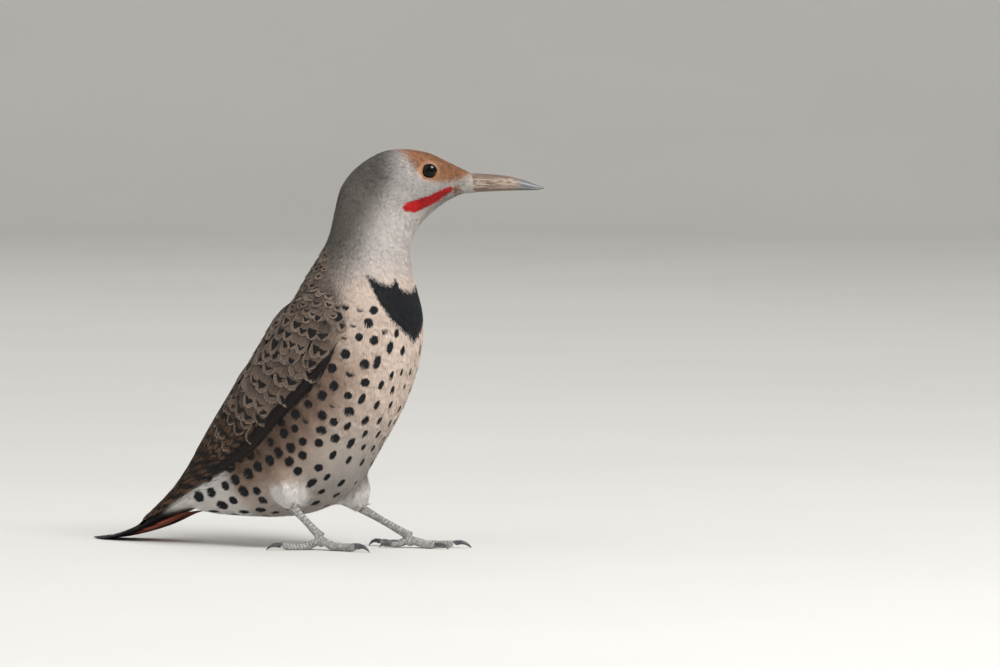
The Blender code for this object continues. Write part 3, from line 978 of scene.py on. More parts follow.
def vane_group():
    """Dark marks, rim, shaft and fine barbs of one feather, with their relief."""

    def build(nodes, given):
        ragged, broad = nodes.noise(700.0, 3.0), nodes.noise(120.0)
        side, along, chance = nodes.parts(given["Vane"])
        count, phase, breadth = nodes.parts(given["Bars"])
        across = abs(side)

        # Marks: how many there are, where the first lies, and how broad they are.
        bent = along + across * given["Bar Curve"] + ragged * 0.12
        off = abs((bent * count + phase).math("FRACT") - 0.5)
        reach = across * given["Bar Taper"] * (chance * 0.4 + 0.8)
        narrow = (1.0 - reach * reach).most(0.0)
        bar = (given["Bar Width"] * 0.5 * breadth * narrow - off).step(0.0, 0.06)
        bar = bar.most((given["Middle"] - across + ragged * 0.3).step(0.0, 0.12))

        # The rim is 1 all round the feather's outline.
        end = ((along - 0.62) * 2.63).most(0.0)
        rim = (across.math("POWER", 4.0) + end.math("POWER", 4.0)).math("POWER", 0.25)
        start = 1.0 - given["Fringe Width"]
        fringe = (rim + ragged * 0.1).step(start - 0.12, start + 0.02) * given["Fringe Width"].step(0.0, 0.02)
        # A thin dark line at the very rim is painted shadow, where the feather's edge lies over the next one.
        line = (rim + ragged * 0.04).step(0.93, 0.975) * given["Rim Line"]
        shaft = 1.0 - across.step(0.02, 0.06)

        comb = ((along - across * 0.22) * 260.0).math("SINE")
        shade = comb * 0.04 + ragged * 0.5 + broad * 0.5 + (chance - 0.5) * given["Variation"]
        shade = (shade + along.step(0.1, 0.8)) * 0.6 + 0.4
        tone = nodes.shaded(nodes.mix(fringe, given["Tone"], given["Fringe"]), shade)
        tone = nodes.mix(bar, tone, given["Mark"])
        tone = nodes.mix(shaft * 0.6, tone, given["Shaft"])
        tone = nodes.mix(line, tone, given["Mark"])
        return {"Color": tone, "Height": comb + shaft * 2.0}

    return shader_group(
        "vane_marks",
        {"Tone": "colour", "Vane": "vector", "Bars": "vector", "Mark": "colour", "Fringe": "colour",
         "Shaft": "colour", "Bar Width": 0.3, "Bar Curve": 0.12, "Bar Taper": 0.0, "Middle": 0.0,
         "Fringe Width": 0.12, "Rim Line": 0.0, "Variation": 0.3},
        {"Color": "colour", "Height": "value"}, build)


def vane_material(name, mark, fringe, shaft, roughness=0.6, **values):
    """A vaned feather's finish."""
    material, nodes, surface = new_finish(name)
    vane = nodes.group(vane_group(), Tone=nodes.read("tone", "Color"), Vane=nodes.read("vane"),
                       Bars=nodes.read("bars"), Mark=mark, Fringe=fringe, Shaft=shaft, **values)
    surface(Base_Color=vane["Color"], Roughness=roughness, Specular_IOR_Level=0.25,
            Normal=nodes.bump(vane["Height"], 0.25, 0.1 * MM))
    return material


# --- vaned feathers

# Steps of a vaned feather's path over the body, and rows of points along its shaft.
PATH_STEPS, SHAFT_ROWS = 6, 6


def sided(places, normals):
    """Paths from their places and normals, a row for each, with the directions of their sides."""
    return places, normals, unit(np.cross(normals, unit(np.gradient(places, axis=1))))


def charted(bird, distances, angles):
    """Paths through places given by distance along the body and angle round it, a row for each."""
    return sided(*bird.ray(distances.ravel(), angles.ravel()).reshape(2, *distances.shape, 3))


def outline_share(along, point):
    """Half width of a feather, as a share, at shares of its length: blunt at 0 and pointed at 1."""
    root = np.clip(along / 0.22, 0.0, 1.0) ** 0.7
    start = 0.62 - 0.35 * point
    end = np.clip((along - start) / (1.0 - start), 0.0, 1.0)
    return root * np.clip(1.0 - end ** (2.2 - 0.9 * point), 0.0, 1.0) ** 0.6


def vaned(bird, name, finish, paths, tone, bars, seed, barbs, half, height, root_drop, point=0.0,
          camber=0.3, lift=0.0):
    """Feathers with a shaft and two rows of barbs each, along the paths, as one piece.

    Tone and bars are what the finish reads, for each feather. Half is their half width, height
    how far they lie above the surface, root_drop how much lower their roots lie, and lift how
    much higher their tips. Camber bends their sides down, in mm.
    """
    rng = np.random.default_rng(seed)
    count = len(paths[0])
    half, height = (np.broadcast_to(value, (count,))[:, None] for value in (half, height))

    # A barb's six points: its lower and upper edge at the shaft, half way out and at the rim.
    base = np.linspace(0.02, 0.93, barbs + 1)
    rim = np.minimum(base + 0.3 * (1.0 - base), 1.0)
    rim[-1] = 1.0
    line = base + (rim - base) * np.array((0.0, 0.42, 1.0))[:, None]
    pull = np.diff(line) * np.array((0.0, 0.01, 0.06))[:, None]
    along = np.stack([line[:, :-1] + pull, line[:, 1:] - pull], -1).transpose(1, 0, 2).reshape(barbs, 6)
    across = np.repeat((0.0, 0.5, 1.0), 2) * np.array((-1.0, 1.0))[:, None, None]
    jitter = rng.normal(0.0, 0.006, (count, 2, barbs, 1)) * np.abs(across)
    along = np.clip(along + jitter, 0.0, 1.0)
    splay = 1.0 + rng.normal(0.0, 0.03, (count, 2, barbs, 1))
    roll = np.tile((0.5, -0.5), 3) * 0.06 * MM * (np.abs(across) > 0)

    # The shaft: three points beside each other in each of its rows.
    shaft_s = np.tile(np.repeat(np.linspace(0.0, 0.96, SHAFT_ROWS), 3), (count, 1))
    shaft_x = np.tile((-1.0, 0.0, 1.0), (count, SHAFT_ROWS))
    thin = np.interp(shaft_s, (0.0, 1.0), (1.0, 0.35))

    def both(barb_values, shaft_values):
        """The values of a feather's barbs, and after them those of its shaft."""
        barb_values = np.broadcast_to(barb_values, along.shape).reshape(count, -1)
        return np.concatenate([barb_values, shaft_values], 1)

    s, share = both(along, shaft_s), both(across, shaft_x * 0.05)
    width = half[..., None, None] * outline_share(along, point) * splay
    x = both(across * width, shaft_x * np.maximum(0.035 * half, 0.12 * MM) * thin)
    ridge = both(roll, np.where(shaft_x == 0, 0.16 * MM, -0.02 * MM) * thin)
    steps = paths[0].shape[1] - 1
    first = np.clip((s * steps).astype(int), 0, steps - 1)
    part = (s * steps - first)[..., None]
    rows = np.arange(count)[:, None]
    centre, normal, side = (
        values[rows, first] * (1 - part) + values[rows, first + 1] * part for values in paths
    )
    on, out = bird.outer.nearest((centre + unit(side) * x[..., None]).reshape(-1, 3)).reshape(2, count, -1, 3)
    out = unit(out * 0.5 + unit(normal) * 0.5)
    rise = height - root_drop * (1.0 - s) ** 1.3 + lift * s ** 2 - camber * MM * (x / half) ** 2 + ridge
    points = (on + out * rise[..., None]).reshape(-1, 3)

    barb = np.array([[0, 1, 3, 2], [2, 3, 5, 4]])
    quads = (np.arange(2 * barbs)[:, None, None] * 6 + barb).reshape(-1, 4)
    quads = np.concatenate([quads[:2 * barbs], quads[2 * barbs:, ::-1]])
    shaft = np.arange(SHAFT_ROWS - 1)[:, None, None] * 3 + np.array([[0, 1, 4, 3], [1, 2, 5, 4]])
    feather = np.concatenate([quads, shaft.reshape(-1, 4) + 12 * barbs])
    each = s.shape[1]
    faces = (np.arange(count)[:, None, None] * each + feather).reshape(-1, 4)
    chance = rng.random((count, 1))
    barb_chance = rng.random((count, 2, barbs, 1))
    mixture = both(0.6 * chance[..., None, None] + 0.4 * barb_chance, chance.repeat(3 * SHAFT_ROWS, 1))
    reach, angle, _ = bird.line.locate(paths[0][:, 0])
    patches = bake_map(bird, reach, angle, s, share)
    attributes = {
        "tone": coloured(np.repeat(np.broadcast_to(tone, (count, 3)), each, 0)),
        "bars": np.repeat(np.broadcast_to(bars, (count, 3)), each, 0),
        "vane": np.stack([share, s, mixture], -1).reshape(-1, 3),
    }
    return ride(joined_mesh(name, points, [faces], attributes, patches), finish)


class Wing:
    """Where a folded wing lies on the body, from its solid."""

    def __init__(self, line, side):
        self.sign = 1.0 if side == "left" else -1.0
        reach, angle, _ = line.locate(points_of(frame["nodes"][f"wing_{side}"].data))
        angle = angle * self.sign
        self.tip, self.front = reach.min(), reach.max()
        edges = np.linspace(self.tip, self.front, 16)
        rows = []
        for low, high in zip(edges, edges[1:]):
            inside = angle[(reach >= low - 2 * MM) & (reach <= high + 2 * MM)]
            if len(inside) > 2:
                rows.append(((low + high) / 2, inside.min(), inside.max()))
        self.rows = np.array(rows).T

    def angles(self, reach, share):
        """Angle round the body at a share of the wing's width, 0 at its upper edge."""
        middles, *edges = self.rows
        low, high = (np.interp(reach, middles, edge) for edge in edges)
        return self.sign * (low + (high - low) * share)

    def reach(self, share):
        """Distance along the body at a share of the wing's length, 0 at its front."""
        return self.front + (self.tip - self.front) * share


_shared = {}


def laid(bird, places, heading, long):
    """Paths of those lengths over the body, for vaned feathers that start at places on it."""
    places, normals = bird.outer.nearest(places)
    long = np.broadcast_to(long, len(places))
    return walked(bird.outer, places, normals, level(heading, normals), long, PATH_STEPS)


def shared():
    """What every piece needs: the bird's measures, worked out once, and its sizes and colours."""
    if "bird" not in _shared:
        _shared["bird"] = Bird()
    scene = bpy.context.scene
    return _shared["bird"], scene.flicker_sizes, scene.flicker_colours


def cloaked(bird, reach, angle):
    """How far each place lies inside the area that the vaned feathers of back and wings cover."""
    wing = bird.wings["left"]
    end = bird.line.named["neck_base"] + 12 * MM
    front = eased((reach - wing.front + 6 * MM) / (end - wing.front))
    edge = np.abs(wing.angles(reach, 1.0)) * (1 - front) + 0.9 * front
    return np.where(reach > end, -0.2, edge) - np.abs(angle)


def ride(piece, material, *nodes):
    """Gives the piece its finish, lets it ride on the body, and hides what it stands for."""
    piece.data.materials.append(material)
    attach(piece, "root")
    if nodes:
        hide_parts(*nodes)
    return piece


def marked(bird, looks, piece):
    """Writes the plumage's attributes and a plain strand to a piece's points."""
    points = points_of(piece.data)
    reach, angle, _ = bird.line.locate(points)
    inside = cloaked(bird, reach, angle)
    tone = mixed(tone_of(bird, looks, points, reach, angle), looks.back_dark, eased(inside / 0.15 + 0.4))
    tone = mixed(tone, looks.quill, eased((bird.line.named["tail_root"] - reach) / (12 * MM)))
    spots = spot_offset(bird, points, closest(points, bird.spots["place"]))
    spots[(inside > 0) | (reach < bird.line.named["undertail"] - 4 * MM)] = NO_SPOT
    add_attributes(piece.data, {
        "tone": coloured(tone, 0.0),
        "marks": marks_of(bird, points),
        "spot": spots,
        "strand": np.full((len(points), 3), 0.5),
    })


# --- settings


class FlickerSizes(bpy.types.PropertyGroup):
    """Sizes of the plumage and bare parts."""

    body_depth: length("Body coat depth", "How far the skin lies under the body's outline", 2.4)
    head_depth: length("Head coat depth", "How far the skin lies under the head's outline", 1.2)
    face_tuft: length("Face tuft length", "Length of the smallest feathers, round the bill", 2.4)
    head_tuft: length("Head tuft length", "Length of the feathers of crown and cheek", 4.4)
    neck_tuft: length("Neck tuft length", "Length of the feathers of the neck", 6.0)
    body_tuft: length("Body tuft length", "Length of the feathers of breast and belly", 8.5)
    thigh_tuft: length("Thigh tuft length", "Length of the loose feathers of the thighs", 8.5)
    mantle_long: length("Mantle feather length", "Length of the feathers of the back", 14.5)
    mantle_wide: length("Mantle feather width", "Width of the feathers of the back", 10.5)
    lid_width: length("Eyelid width", "Width of the bare ring round each eye", 0.8)


class FlickerColours(bpy.types.PropertyGroup):
    """Colours of the plumage and bare parts."""

    breast: colour("Breast", "Upper breast", (224, 206, 192))
    flank: colour("Flank", "Sides of the body", (168, 143, 126))
    # The flank's colour by the wing is painted shade under the wing.
    flank_painted_shade: colour("Flank, by the wing", "Sides of the body along the wing", (86, 66, 52))
    belly: colour("Belly", "Middle of the belly", (180, 172, 165))
    white: colour("White", "Thighs, rump and under the tail", (228, 225, 221))
    throat: colour("Throat", "Throat and front of the neck", (204, 197, 192))
    nostril: colour("Nostril tufts", "Pale feathers over the nostrils", (182, 174, 166))
    cheek: colour("Cheek", "Sides of the head", (186, 181, 177))
    nape: colour("Nape", "Back of the head and neck", (106, 100, 94))
    cap: colour("Cap", "Forehead and lores", (172, 122, 88))
    cap_dark: colour("Cap, darker", "Shaded strands of the cap", (118, 78, 54))
    black: colour("Black marks", "Crescent and spots", (18, 18, 20))
    black_sheen: colour("Black marks, lit", "Lighter strands in the black marks", (38, 41, 46))
    stripe: colour("Cheek stripe", "Red stripe of the male", (202, 34, 36))
    stripe_dark: colour("Cheek stripe, darker", "Deeper strands of the stripe", (160, 20, 26))
    back: colour("Back", "Ground of the upper back", (120, 104, 92))
    back_low: colour("Wing coverts", "Ground of the lower wing coverts", (84, 63, 47))
    back_dark: colour("Under the back", "Down under the feathers of the back", (60, 52, 46))
    back_fringe: colour("Back fringe", "Pale rims of the back's feathers", (142, 126, 113))
    quill: colour("Flight feathers", "Ground of the flight and tail feathers", (22, 18, 17))
    quill_bar: colour("Flight feather bars", "Pale bars of the flight feathers", (106, 80, 59))
    quill_shaft: colour("Shafts", "Red-brown shafts of the flight and tail feathers", (44, 26, 20))
    under_tail: colour("Under the tail", "Salmon underside of the tail feathers", (196, 108, 80))
    bill_base: colour("Bill base", "Horn colour of the bill's root", (164, 144, 128))
    bill_low: colour("Bill, lower half", "Darker horn of the bill's lower half", (98, 76, 62))
    bill_tip: colour("Bill tip", "Blue-grey of the bill's point", (96, 99, 104))
    leg: colour("Legs", "Bare legs and toes", (186, 183, 179))
    claw: colour("Claws", "Claws", (92, 94, 98))
    iris: colour("Iris", "Ring of the eye round the pupil", (26, 14, 10))
    lid: colour("Eyelid", "Bare ring round each eye", (158, 124, 102))
    floor: colour("Floor", "Studio floor and backdrop", (218, 216, 212))


class StudioSettings(bpy.types.PropertyGroup):
    """Camera and light."""

    turn: angle_setting("Camera turn", "Angle of the camera round the bird", 30.0)
    rise: angle_setting("Camera rise", "Angle of the camera above the horizon", 2.5)
    distance: length("Camera distance", "From the camera to the bird", 4000.0, 500.0)
    frame_width: length("View width", "Width of the view at the bird", 500.0, 50.0)
    key: power("Key light", "Power of the key light", 104.0)
    fill: power("Fill light", "Power of the fill light", 15.0)
    ambient: bpy.props.FloatProperty(
        name="Ambient light", description="Strength of the light from all round", default=0.62, min=0.0)


# --- skin


def local_depth(bird, points, normals, wanted):
    """The coat's depth at each point, kept to a part of the body's own thickness there."""
    start, reach = 0.0002, 0.02
    depth = np.full(len(points), reach)
    for i, (point, normal) in enumerate(zip(points, normals)):
        inwards = Vector(-normal)
        hit = bird.outer.tree.ray_cast(Vector(point) + inwards * start, inwards, reach)
        if hit[0] is not None:
            depth[i] = hit[3]
    return np.minimum(wanted, depth * 0.3)


class FLICKER_OT_skin(bpy.types.Operator):
    """Add the one skin that lies under all the plumage"""

    bl_idname = "flicker.skin"
    bl_label = "Add skin"

    def execute(self, context):
        bird, sizes, looks = shared()
        mesh, points, normals = opened(bird.form)
        reach, _, _ = bird.line.locate(points)
        to_head = eased((reach - bird.line.named["throat"]) / (20 * MM))
        depth = sizes.body_depth * (1 - to_head) + sizes.head_depth * to_head
        # Behind each eye the skin sinks into a socket, and round the eye it rises to the outline.
        for sign in bird.head.eyes:
            away, beside = bird.head.from_eye(sign, points)
            outside = np.clip((away / MM - 4.6) / 3.0, 0.0, 1.0)
            near = np.where(away < 3.4 * MM, 2.6 * MM, (depth + 0.05 * MM) * outside - 0.05 * MM)
            depth = np.where((beside > -2 * MM) & (away < 8 * MM), near, depth)
        depth = local_depth(bird, points, normals, depth)
        for _ in range(3):
            for vertex, value in zip(mesh.verts, depth.copy()):
                linked = [depth[edge.other_vert(vertex).index] for edge in vertex.link_edges]
                depth[vertex.index] = 0.5 * value + 0.5 * sum(linked) / len(linked)
        points = points - normals * depth[:, None]
        ahead, _, _ = bird.head.local(points)
        into_bill = np.clip(ahead - bird.head.bill_root + 4.5 * MM, 0.0, None) * 0.6
        points = points - into_bill[:, None] * bird.head.ahead
        skin = made("skin", moved(mesh, points, 0.5))
        marked(bird, looks, skin)
        ride(skin, plumage_material(looks, "skin"), *FLESH)
        return {"FINISHED"}


# --- eyes


def mottled(name, dark, light, scale, roughness, coat=0.0):
    """A finish with two colours in soft patches and a slight relief."""
    material, nodes, surface = new_finish(name)
    patches = nodes.group(mottle_group(), Dark=dark, Light=light, Scale=scale)
    surface(Base_Color=patches["Color"], Roughness=roughness, Coat_Weight=coat, Coat_Roughness=0.05,
            Normal=nodes.bump(patches["Height"], 0.2, 0.1 * MM))
    return material


def darker(tone, share):
    """The colour at a share of its light."""
    return tuple(value * share for value in tone)


def eye_material(looks):
    """Black pupil, dark brown iris and a wet surface."""
    material, nodes, surface = new_finish("eye")
    ring, _, _ = nodes.parts(nodes.read("iris"))
    brown = nodes.group(mottle_group(), Dark=darker(looks.iris, 0.4), Light=looks.iris, Scale=4000.0)
    surface(Base_Color=nodes.mix(ring.step(0.5, 0.6), (0.001, 0.001, 0.001), brown["Color"]),
            Roughness=0.07, Specular_IOR_Level=0.2)
    return material


# The lid's middle ring, and the half length and height of its opening.
LID_RADIUS, LID_LONG, LID_HIGH = 4.0 * MM, 4.4 * MM, 4.2 * MM


def turned(mesh, steps, apart):
    """Spins a profile once round the Z axis, and merges its points where it meets itself."""
    bmesh.ops.spin(mesh, geom=[*mesh.verts, *mesh.edges], cent=(0, 0, 0), axis=(0, 0, 1), dvec=(0, 0, 0),
                   angle=math.tau, steps=steps, use_merge=True, use_duplicate=False)
    bmesh.ops.remove_doubles(mesh, verts=mesh.verts, dist=apart)


class FLICKER_OT_eyes(bpy.types.Operator):
    """Add the eyeballs and the bare lids round them"""

    bl_idname = "flicker.eyes"
    bl_label = "Add eyes"

    def execute(self, context):
        bird, sizes, looks = shared()
        head = bird.head
        wet = eye_material(looks)
        bare = mottled("eyelid", darker(looks.lid, 0.55), looks.lid, scale=1500.0, roughness=0.55)
        for side, (sign, centre) in zip(SIDES, head.eyes.items()):
            turn = Vector(head.side * sign).to_track_quat("Z", "Y").to_matrix().to_4x4()
            mesh = bmesh.new()
            bmesh.ops.create_uvsphere(mesh, u_segments=48, v_segments=32, radius=head.eye_radius * 0.985)
            bmesh.ops.transform(mesh, verts=mesh.verts, matrix=Matrix.Translation(centre) @ turn)
            eye = made(f"eyeball_{side}", mesh)
            points = points_of(eye.data)
            away, beside = head.from_eye(sign, points)
            ring = np.where(beside > 0, away / LID_RADIUS, 2.0)
            # Outside the lid's ring the ball draws back, so that only its open front shows.
            drawn_in = centre + (points - centre) * np.where(ring > 1.09, 0.8, 1.0)[:, None]
            eye.data.vertices.foreach_set("co", drawn_in.ravel())
            add_attributes(eye.data, {"iris": np.stack([ring, ring, ring], 1)})
            ride(eye, wet, f"eye_{side}")
            ride(self.lid(head, sizes.lid_width / 2, side, sign), bare)
        return {"FINISHED"}

    def lid(self, head, half, side, sign):
        """A thin rolled rim that lies on the eyeball, a little longer than it is high."""
        mesh = bmesh.new()
        profile = bmesh.ops.create_circle(mesh, segments=10, radius=half)["verts"]
        bmesh.ops.transform(mesh, verts=profile, matrix=Matrix.Rotation(math.pi / 2, 4, "X"))
        bmesh.ops.translate(mesh, verts=profile, vec=(LID_RADIUS, 0.0, 0.0))
        turned(mesh, 64, 0.001 * MM)
        for vertex in mesh.verts:
            x, y, z = vertex.co
            turn = math.atan2(y, x)
            wide = math.hypot(LID_LONG * math.cos(turn), LID_HIGH * math.sin(turn))
            wide += math.hypot(x, y) - LID_RADIUS
            height = math.sqrt(max(head.eye_radius ** 2 - wide ** 2, 0.0)) + z * 0.8 + 0.08 * MM
            place = head.ahead * (wide * math.cos(turn)) + head.up * (wide * math.sin(turn))
            vertex.co = head.eyes[sign] + (place + head.side * sign * height)
        bmesh.ops.recalc_face_normals(mesh, faces=mesh.faces)
        return made(f"eyelid_{side}", mesh)


# --- bill


def bill_material(looks):
    """Streaked horn that turns smooth and blue-grey towards its point."""
    material, nodes, surface = new_finish("bill")
    along, side, up = nodes.parts(nodes.read("bill"))
    place = nodes.add("CombineXYZ", X=along * 5.0, Y=side * 4.5, Z=up * 4.5)
    streak = nodes.noise(1.5, 4.0, place)
    patch = nodes.noise(3.0, 2.0, nodes.add("CombineXYZ", X=along * 1.6, Y=side, Z=up))
    tip = (along + patch * 0.12).step(0.56, 0.74)
    horn = nodes.mix((streak + patch * 0.6).step(-0.2, 0.16), looks.bill_low, looks.bill_base)
    low = (streak * 0.5 - up).step(-0.05, 0.35).most((up + streak * 0.5).step(0.95, 1.25))
    horn = nodes.mix(low * 0.8, horn, looks.bill_low)
    smooth_tip = nodes.mix((streak * 0.35 - up).step(0.0, 0.3), looks.bill_tip, darker(looks.bill_tip, 0.3))
    worn = streak * (1.0 - tip)
    surface(Base_Color=nodes.shaded(nodes.mix(tip, horn, smooth_tip), worn * 0.5 + 1.0),
            Roughness=0.52 - tip * 0.16, Normal=nodes.bump(worn, 0.5, 0.25 * MM))
    return material


class FLICKER_OT_bill(bpy.types.Operator):
    """Add the two halves of the bill, with ridge and nostrils"""

    bl_idname = "flicker.bill"
    bl_label = "Add bill"

    def execute(self, context):
        bird, _, looks = shared()
        head, horn = bird.head, bill_material(looks)
        gape = (box("bill_upper")[0][2] + box("bill_lower")[1][2]) / 2 - head.middle[2]
        for name in ("bill_upper", "bill_lower"):
            mesh, points, normals = opened(fused((name,), voxel=0.22 * MM, smoothing=4))
            ahead, side, up = head.local(points)
            share = (ahead - head.bill_root) / (head.bill_tip - head.bill_root)
            beside, above = np.abs(side) / MM, (up - gape) / MM
            if name == "bill_upper":
                facing = np.clip(normals[:, 2], 0.0, None)
                ridge = np.exp(-(beside / 0.7) ** 2) * facing * 0.22
                groove = np.exp(-((beside - 1.6) / 0.45) ** 2) * facing * 0.16 * (1 - np.clip(share, 0, 1))
                nostril = np.exp(-((share - 0.13) / 0.05) ** 2 - ((above - 2.6) / 0.7) ** 2) * 0.7
                change = ridge - groove - nostril * (beside > 0.8)
                points = points + normals * (change * MM)[:, None]
            # The root runs on inside the face, so that no slit shows.
            inwards = np.clip(1.0 - (ahead - ahead.min()) / (1.2 * MM), 0.0, 1.0) * 4.0 * MM
            points = points - inwards[:, None] * head.ahead
            half = made(f"{name}_horn", moved(mesh, points, 0.3))
            add_attributes(half.data, {"bill": np.stack([share, side / (4 * MM), above / 4], 1)})
            ride(half, horn, name)
        return {"FINISHED"}


# --- legs and claws


def leg_material(looks):
    """Pale scutes with darker, dusty seams."""
    material, nodes, surface = new_finish("leg")
    seam, _, _ = nodes.parts(nodes.read("scute"))
    place = nodes.add("TexCoord", "Object")
    cells = nodes.add("TexVoronoi", "Distance", Vector=place, Scale=1000.0)
    dust = nodes.group(mottle_group(), Dark=darker(looks.leg, 0.62), Light=looks.leg, Scale=420.0,
                       Contrast=1.6)
    tone = nodes.mix(seam.step(0.2, 0.75) * 0.8, dust["Color"], darker(looks.leg, 0.2))
    tone = nodes.mix(cells.step(0.34, 0.7) * 0.5, tone, darker(looks.leg, 0.3))
    surface(Base_Color=tone, Roughness=0.6, Normal=nodes.bump(cells * -1.0, 0.6, 0.25 * MM))
    return material


def claws_of(side=""):
    """Names of the claws of one side, or of both."""
    return sorted(name for name in frame["nodes"] if name.startswith("claw") and side in name)


class FLICKER_OT_legs(bpy.types.Operator):
    """Add the scaly legs and toes"""

    bl_idname = "flicker.legs"
    bl_label = "Add legs"

    def execute(self, context):
        _, _, looks = shared()
        scaly = leg_material(looks)
        for side in SIDES:
            low, high = box(f"shank_{side}")
            joint = foot_joint(side)
            cuff = np.array((low[0] + 2 * MM, (low[1] + high[1]) / 2, high[2]))
            # The ends of shank and toes, and the length of their scutes.
            lines = [(cuff, 2.1 * MM), *((sum(box(name)) / 2, 1.5 * MM) for name in claws_of(side))]
            form = fused((f"shank_{side}", f"foot_{side}"), voxel=0.28 * MM, smoothing=5)
            mesh, points, normals = opened(form)
            best, place = np.full(len(points), 1.0), np.zeros(len(points))
            for end, pitch in lines:
                share, away = beside_line(points, joint, end)
                place = np.where(away < best, share * np.linalg.norm(end - joint) / pitch, place)
                best = np.minimum(best, away)
            facing = np.clip(normals @ np.array((0.75, 0.0, 0.66)) * 1.6 + 0.3, 0.0, 1.0)
            seam = (1.0 - np.abs(np.sin(math.pi * place)) ** 0.35) * facing
            leg = made(f"leg_skin_{side}", moved(mesh, points - normals * (seam * 0.26 * MM)[:, None]))
            add_attributes(leg.data, {"scute": np.stack([seam * 1.6, facing, place], 1)})
            ride(leg, scaly, f"shank_{side}", f"foot_{side}")
        return {"FINISHED"}


def foot_joint(side):
    """Where the shank meets the toes."""
    low, high = box(f"shank_{side}")
    return np.array((high[0] - 2 * MM, (low[1] + high[1]) / 2, low[2] + 1.5 * MM))


class FLICKER_OT_claws(bpy.types.Operator):
    """Add the curved claws"""

    bl_idname = "flicker.claws"
    bl_label = "Add claws"

    def execute(self, context):
        _, _, looks = shared()
        mesh = bmesh.new()
        for name in claws_of():
            known = set(mesh.verts)
            cad_copy(mesh, name)
            self.seat(name, [vertex for vertex in mesh.verts if vertex not in known])
        piece = made("claws", mesh)
        smooth = piece.modifiers.new("rounding", "SUBSURF")
        smooth.levels = smooth.render_levels = 2
        horn = mottled("claw", darker(looks.claw, 0.35), looks.claw, scale=900.0, roughness=0.35, coat=0.3)
        ride(piece, horn, *claws_of())
        return {"FINISHED"}

    def seat(self, name, verts):
        """Draws a claw's blunt end into its toe, so that no gap shows."""
        points = np.array([vertex.co for vertex in verts])
        inwards = unit(foot_joint("left" if "left" in name else "right") - points.mean(0))
        reach = points @ inwards
        for vertex, value in zip(verts, reach):
            if value > reach.max() - 0.9 * MM:
                vertex.co += Vector(inwards) * 1.3 * MM


# --- coats


def skip_eyes(bird, points):
    """0 over the open eyes and 1 elsewhere."""
    clear = np.ones(len(points))
    for sign in bird.head.eyes:
        away, beside = bird.head.from_eye(sign, points)
        clear = np.where((beside > 0) & (away < 4.1 * MM), 0.0, clear)
    return clear


class FLICKER_OT_head_coat(bpy.types.Operator):
    """Add the short feathers of head and neck"""

    bl_idname = "flicker.head_coat"
    bl_label = "Add head and neck coat"

    def execute(self, context):
        bird, sizes, looks = shared()
        head, named = bird.head, bird.line.named
        soft = plumage_material(looks, "head_feathers", root_shade=0.66, variation=0.2)
        ends = named["nape"] - 2 * MM

        def face_size(points):
            ahead, _, _ = head.local_mm(points)
            near_eye = np.minimum(*(sizes_of(points - eye) for eye in head.eyes.values()))
            size = sizes.head_tuft + (sizes.face_tuft - sizes.head_tuft) * eased((ahead + 12.0) / 26.0)
            return size * (0.55 + 0.45 * eased((near_eye / MM - 5.0) / 5.0))

        def part(start, end):
            def weight(centres, normals):
                reach, _, _ = bird.line.locate(centres)
                ahead, _, _ = head.local(centres)
                inside = (reach > ends) & (ahead > start) & (ahead <= end) & (ahead < head.bill_root)
                inside &= (ahead < head.bill_root - 3 * MM) | (normals @ head.ahead < 0.5)
                return inside * skip_eyes(bird, centres)
            return weight

        middle = -5.5 * MM
        for name, seed, weight in (("face", 31, part(middle, 1.0)), ("crown", 32, part(-1.0, middle))):
            coat(bird, looks, f"head_coat_{name}", soft, "head", 5000, seed, weight, face_size,
                 sizes.head_depth * 0.8)
        self.bristles(bird, looks, soft)

        def neck(centres, normals):
            reach, angle, _ = bird.line.locate(centres)
            inside = (reach > named["shoulder"] - 2 * MM) & (reach <= ends + 3 * MM)
            return inside * (cloaked(bird, reach, angle) < 0.1)

        for number in (1, 2):
            coat(bird, looks, f"neck_coat_{number}", soft, "neck", 4700, 40 + number, neck,
                 sizes.neck_tuft, sizes.body_depth * 0.6)
        return {"FINISHED"}

    def bristles(self, bird, looks, soft):
        """Feathers at the edge of the face that point forwards and lie on the root of the bill."""
        head = bird.head
        # How far they reach forwards of the bill's root, at heights above the eyes, in mm.
        heights, edge = (-11.0, -8.5, -7.0, -5.0, -3.0, 1.0), (1.5, -1.0, 1.5, 3.6, 1.0, -0.5)

        def weight(centres, normals):
            ahead, _, up = head.local_mm(centres)
            front = head.bill_root / MM + np.interp(up, heights, edge)
            return (ahead > front - 5.0) & (ahead < front - 0.5)

        def forwards(normals):
            return unit(head.ahead - normals * (normals @ head.ahead)[:, None])

        form = fused(("head", "bill_upper", "bill_lower"), voxel=0.5 * MM, smoothing=6)
        coat(bird, looks, "bill_bristles", soft, "bristle", 1900, 35, weight, 3.0 * MM, 0.3 * MM, form,
             forwards)


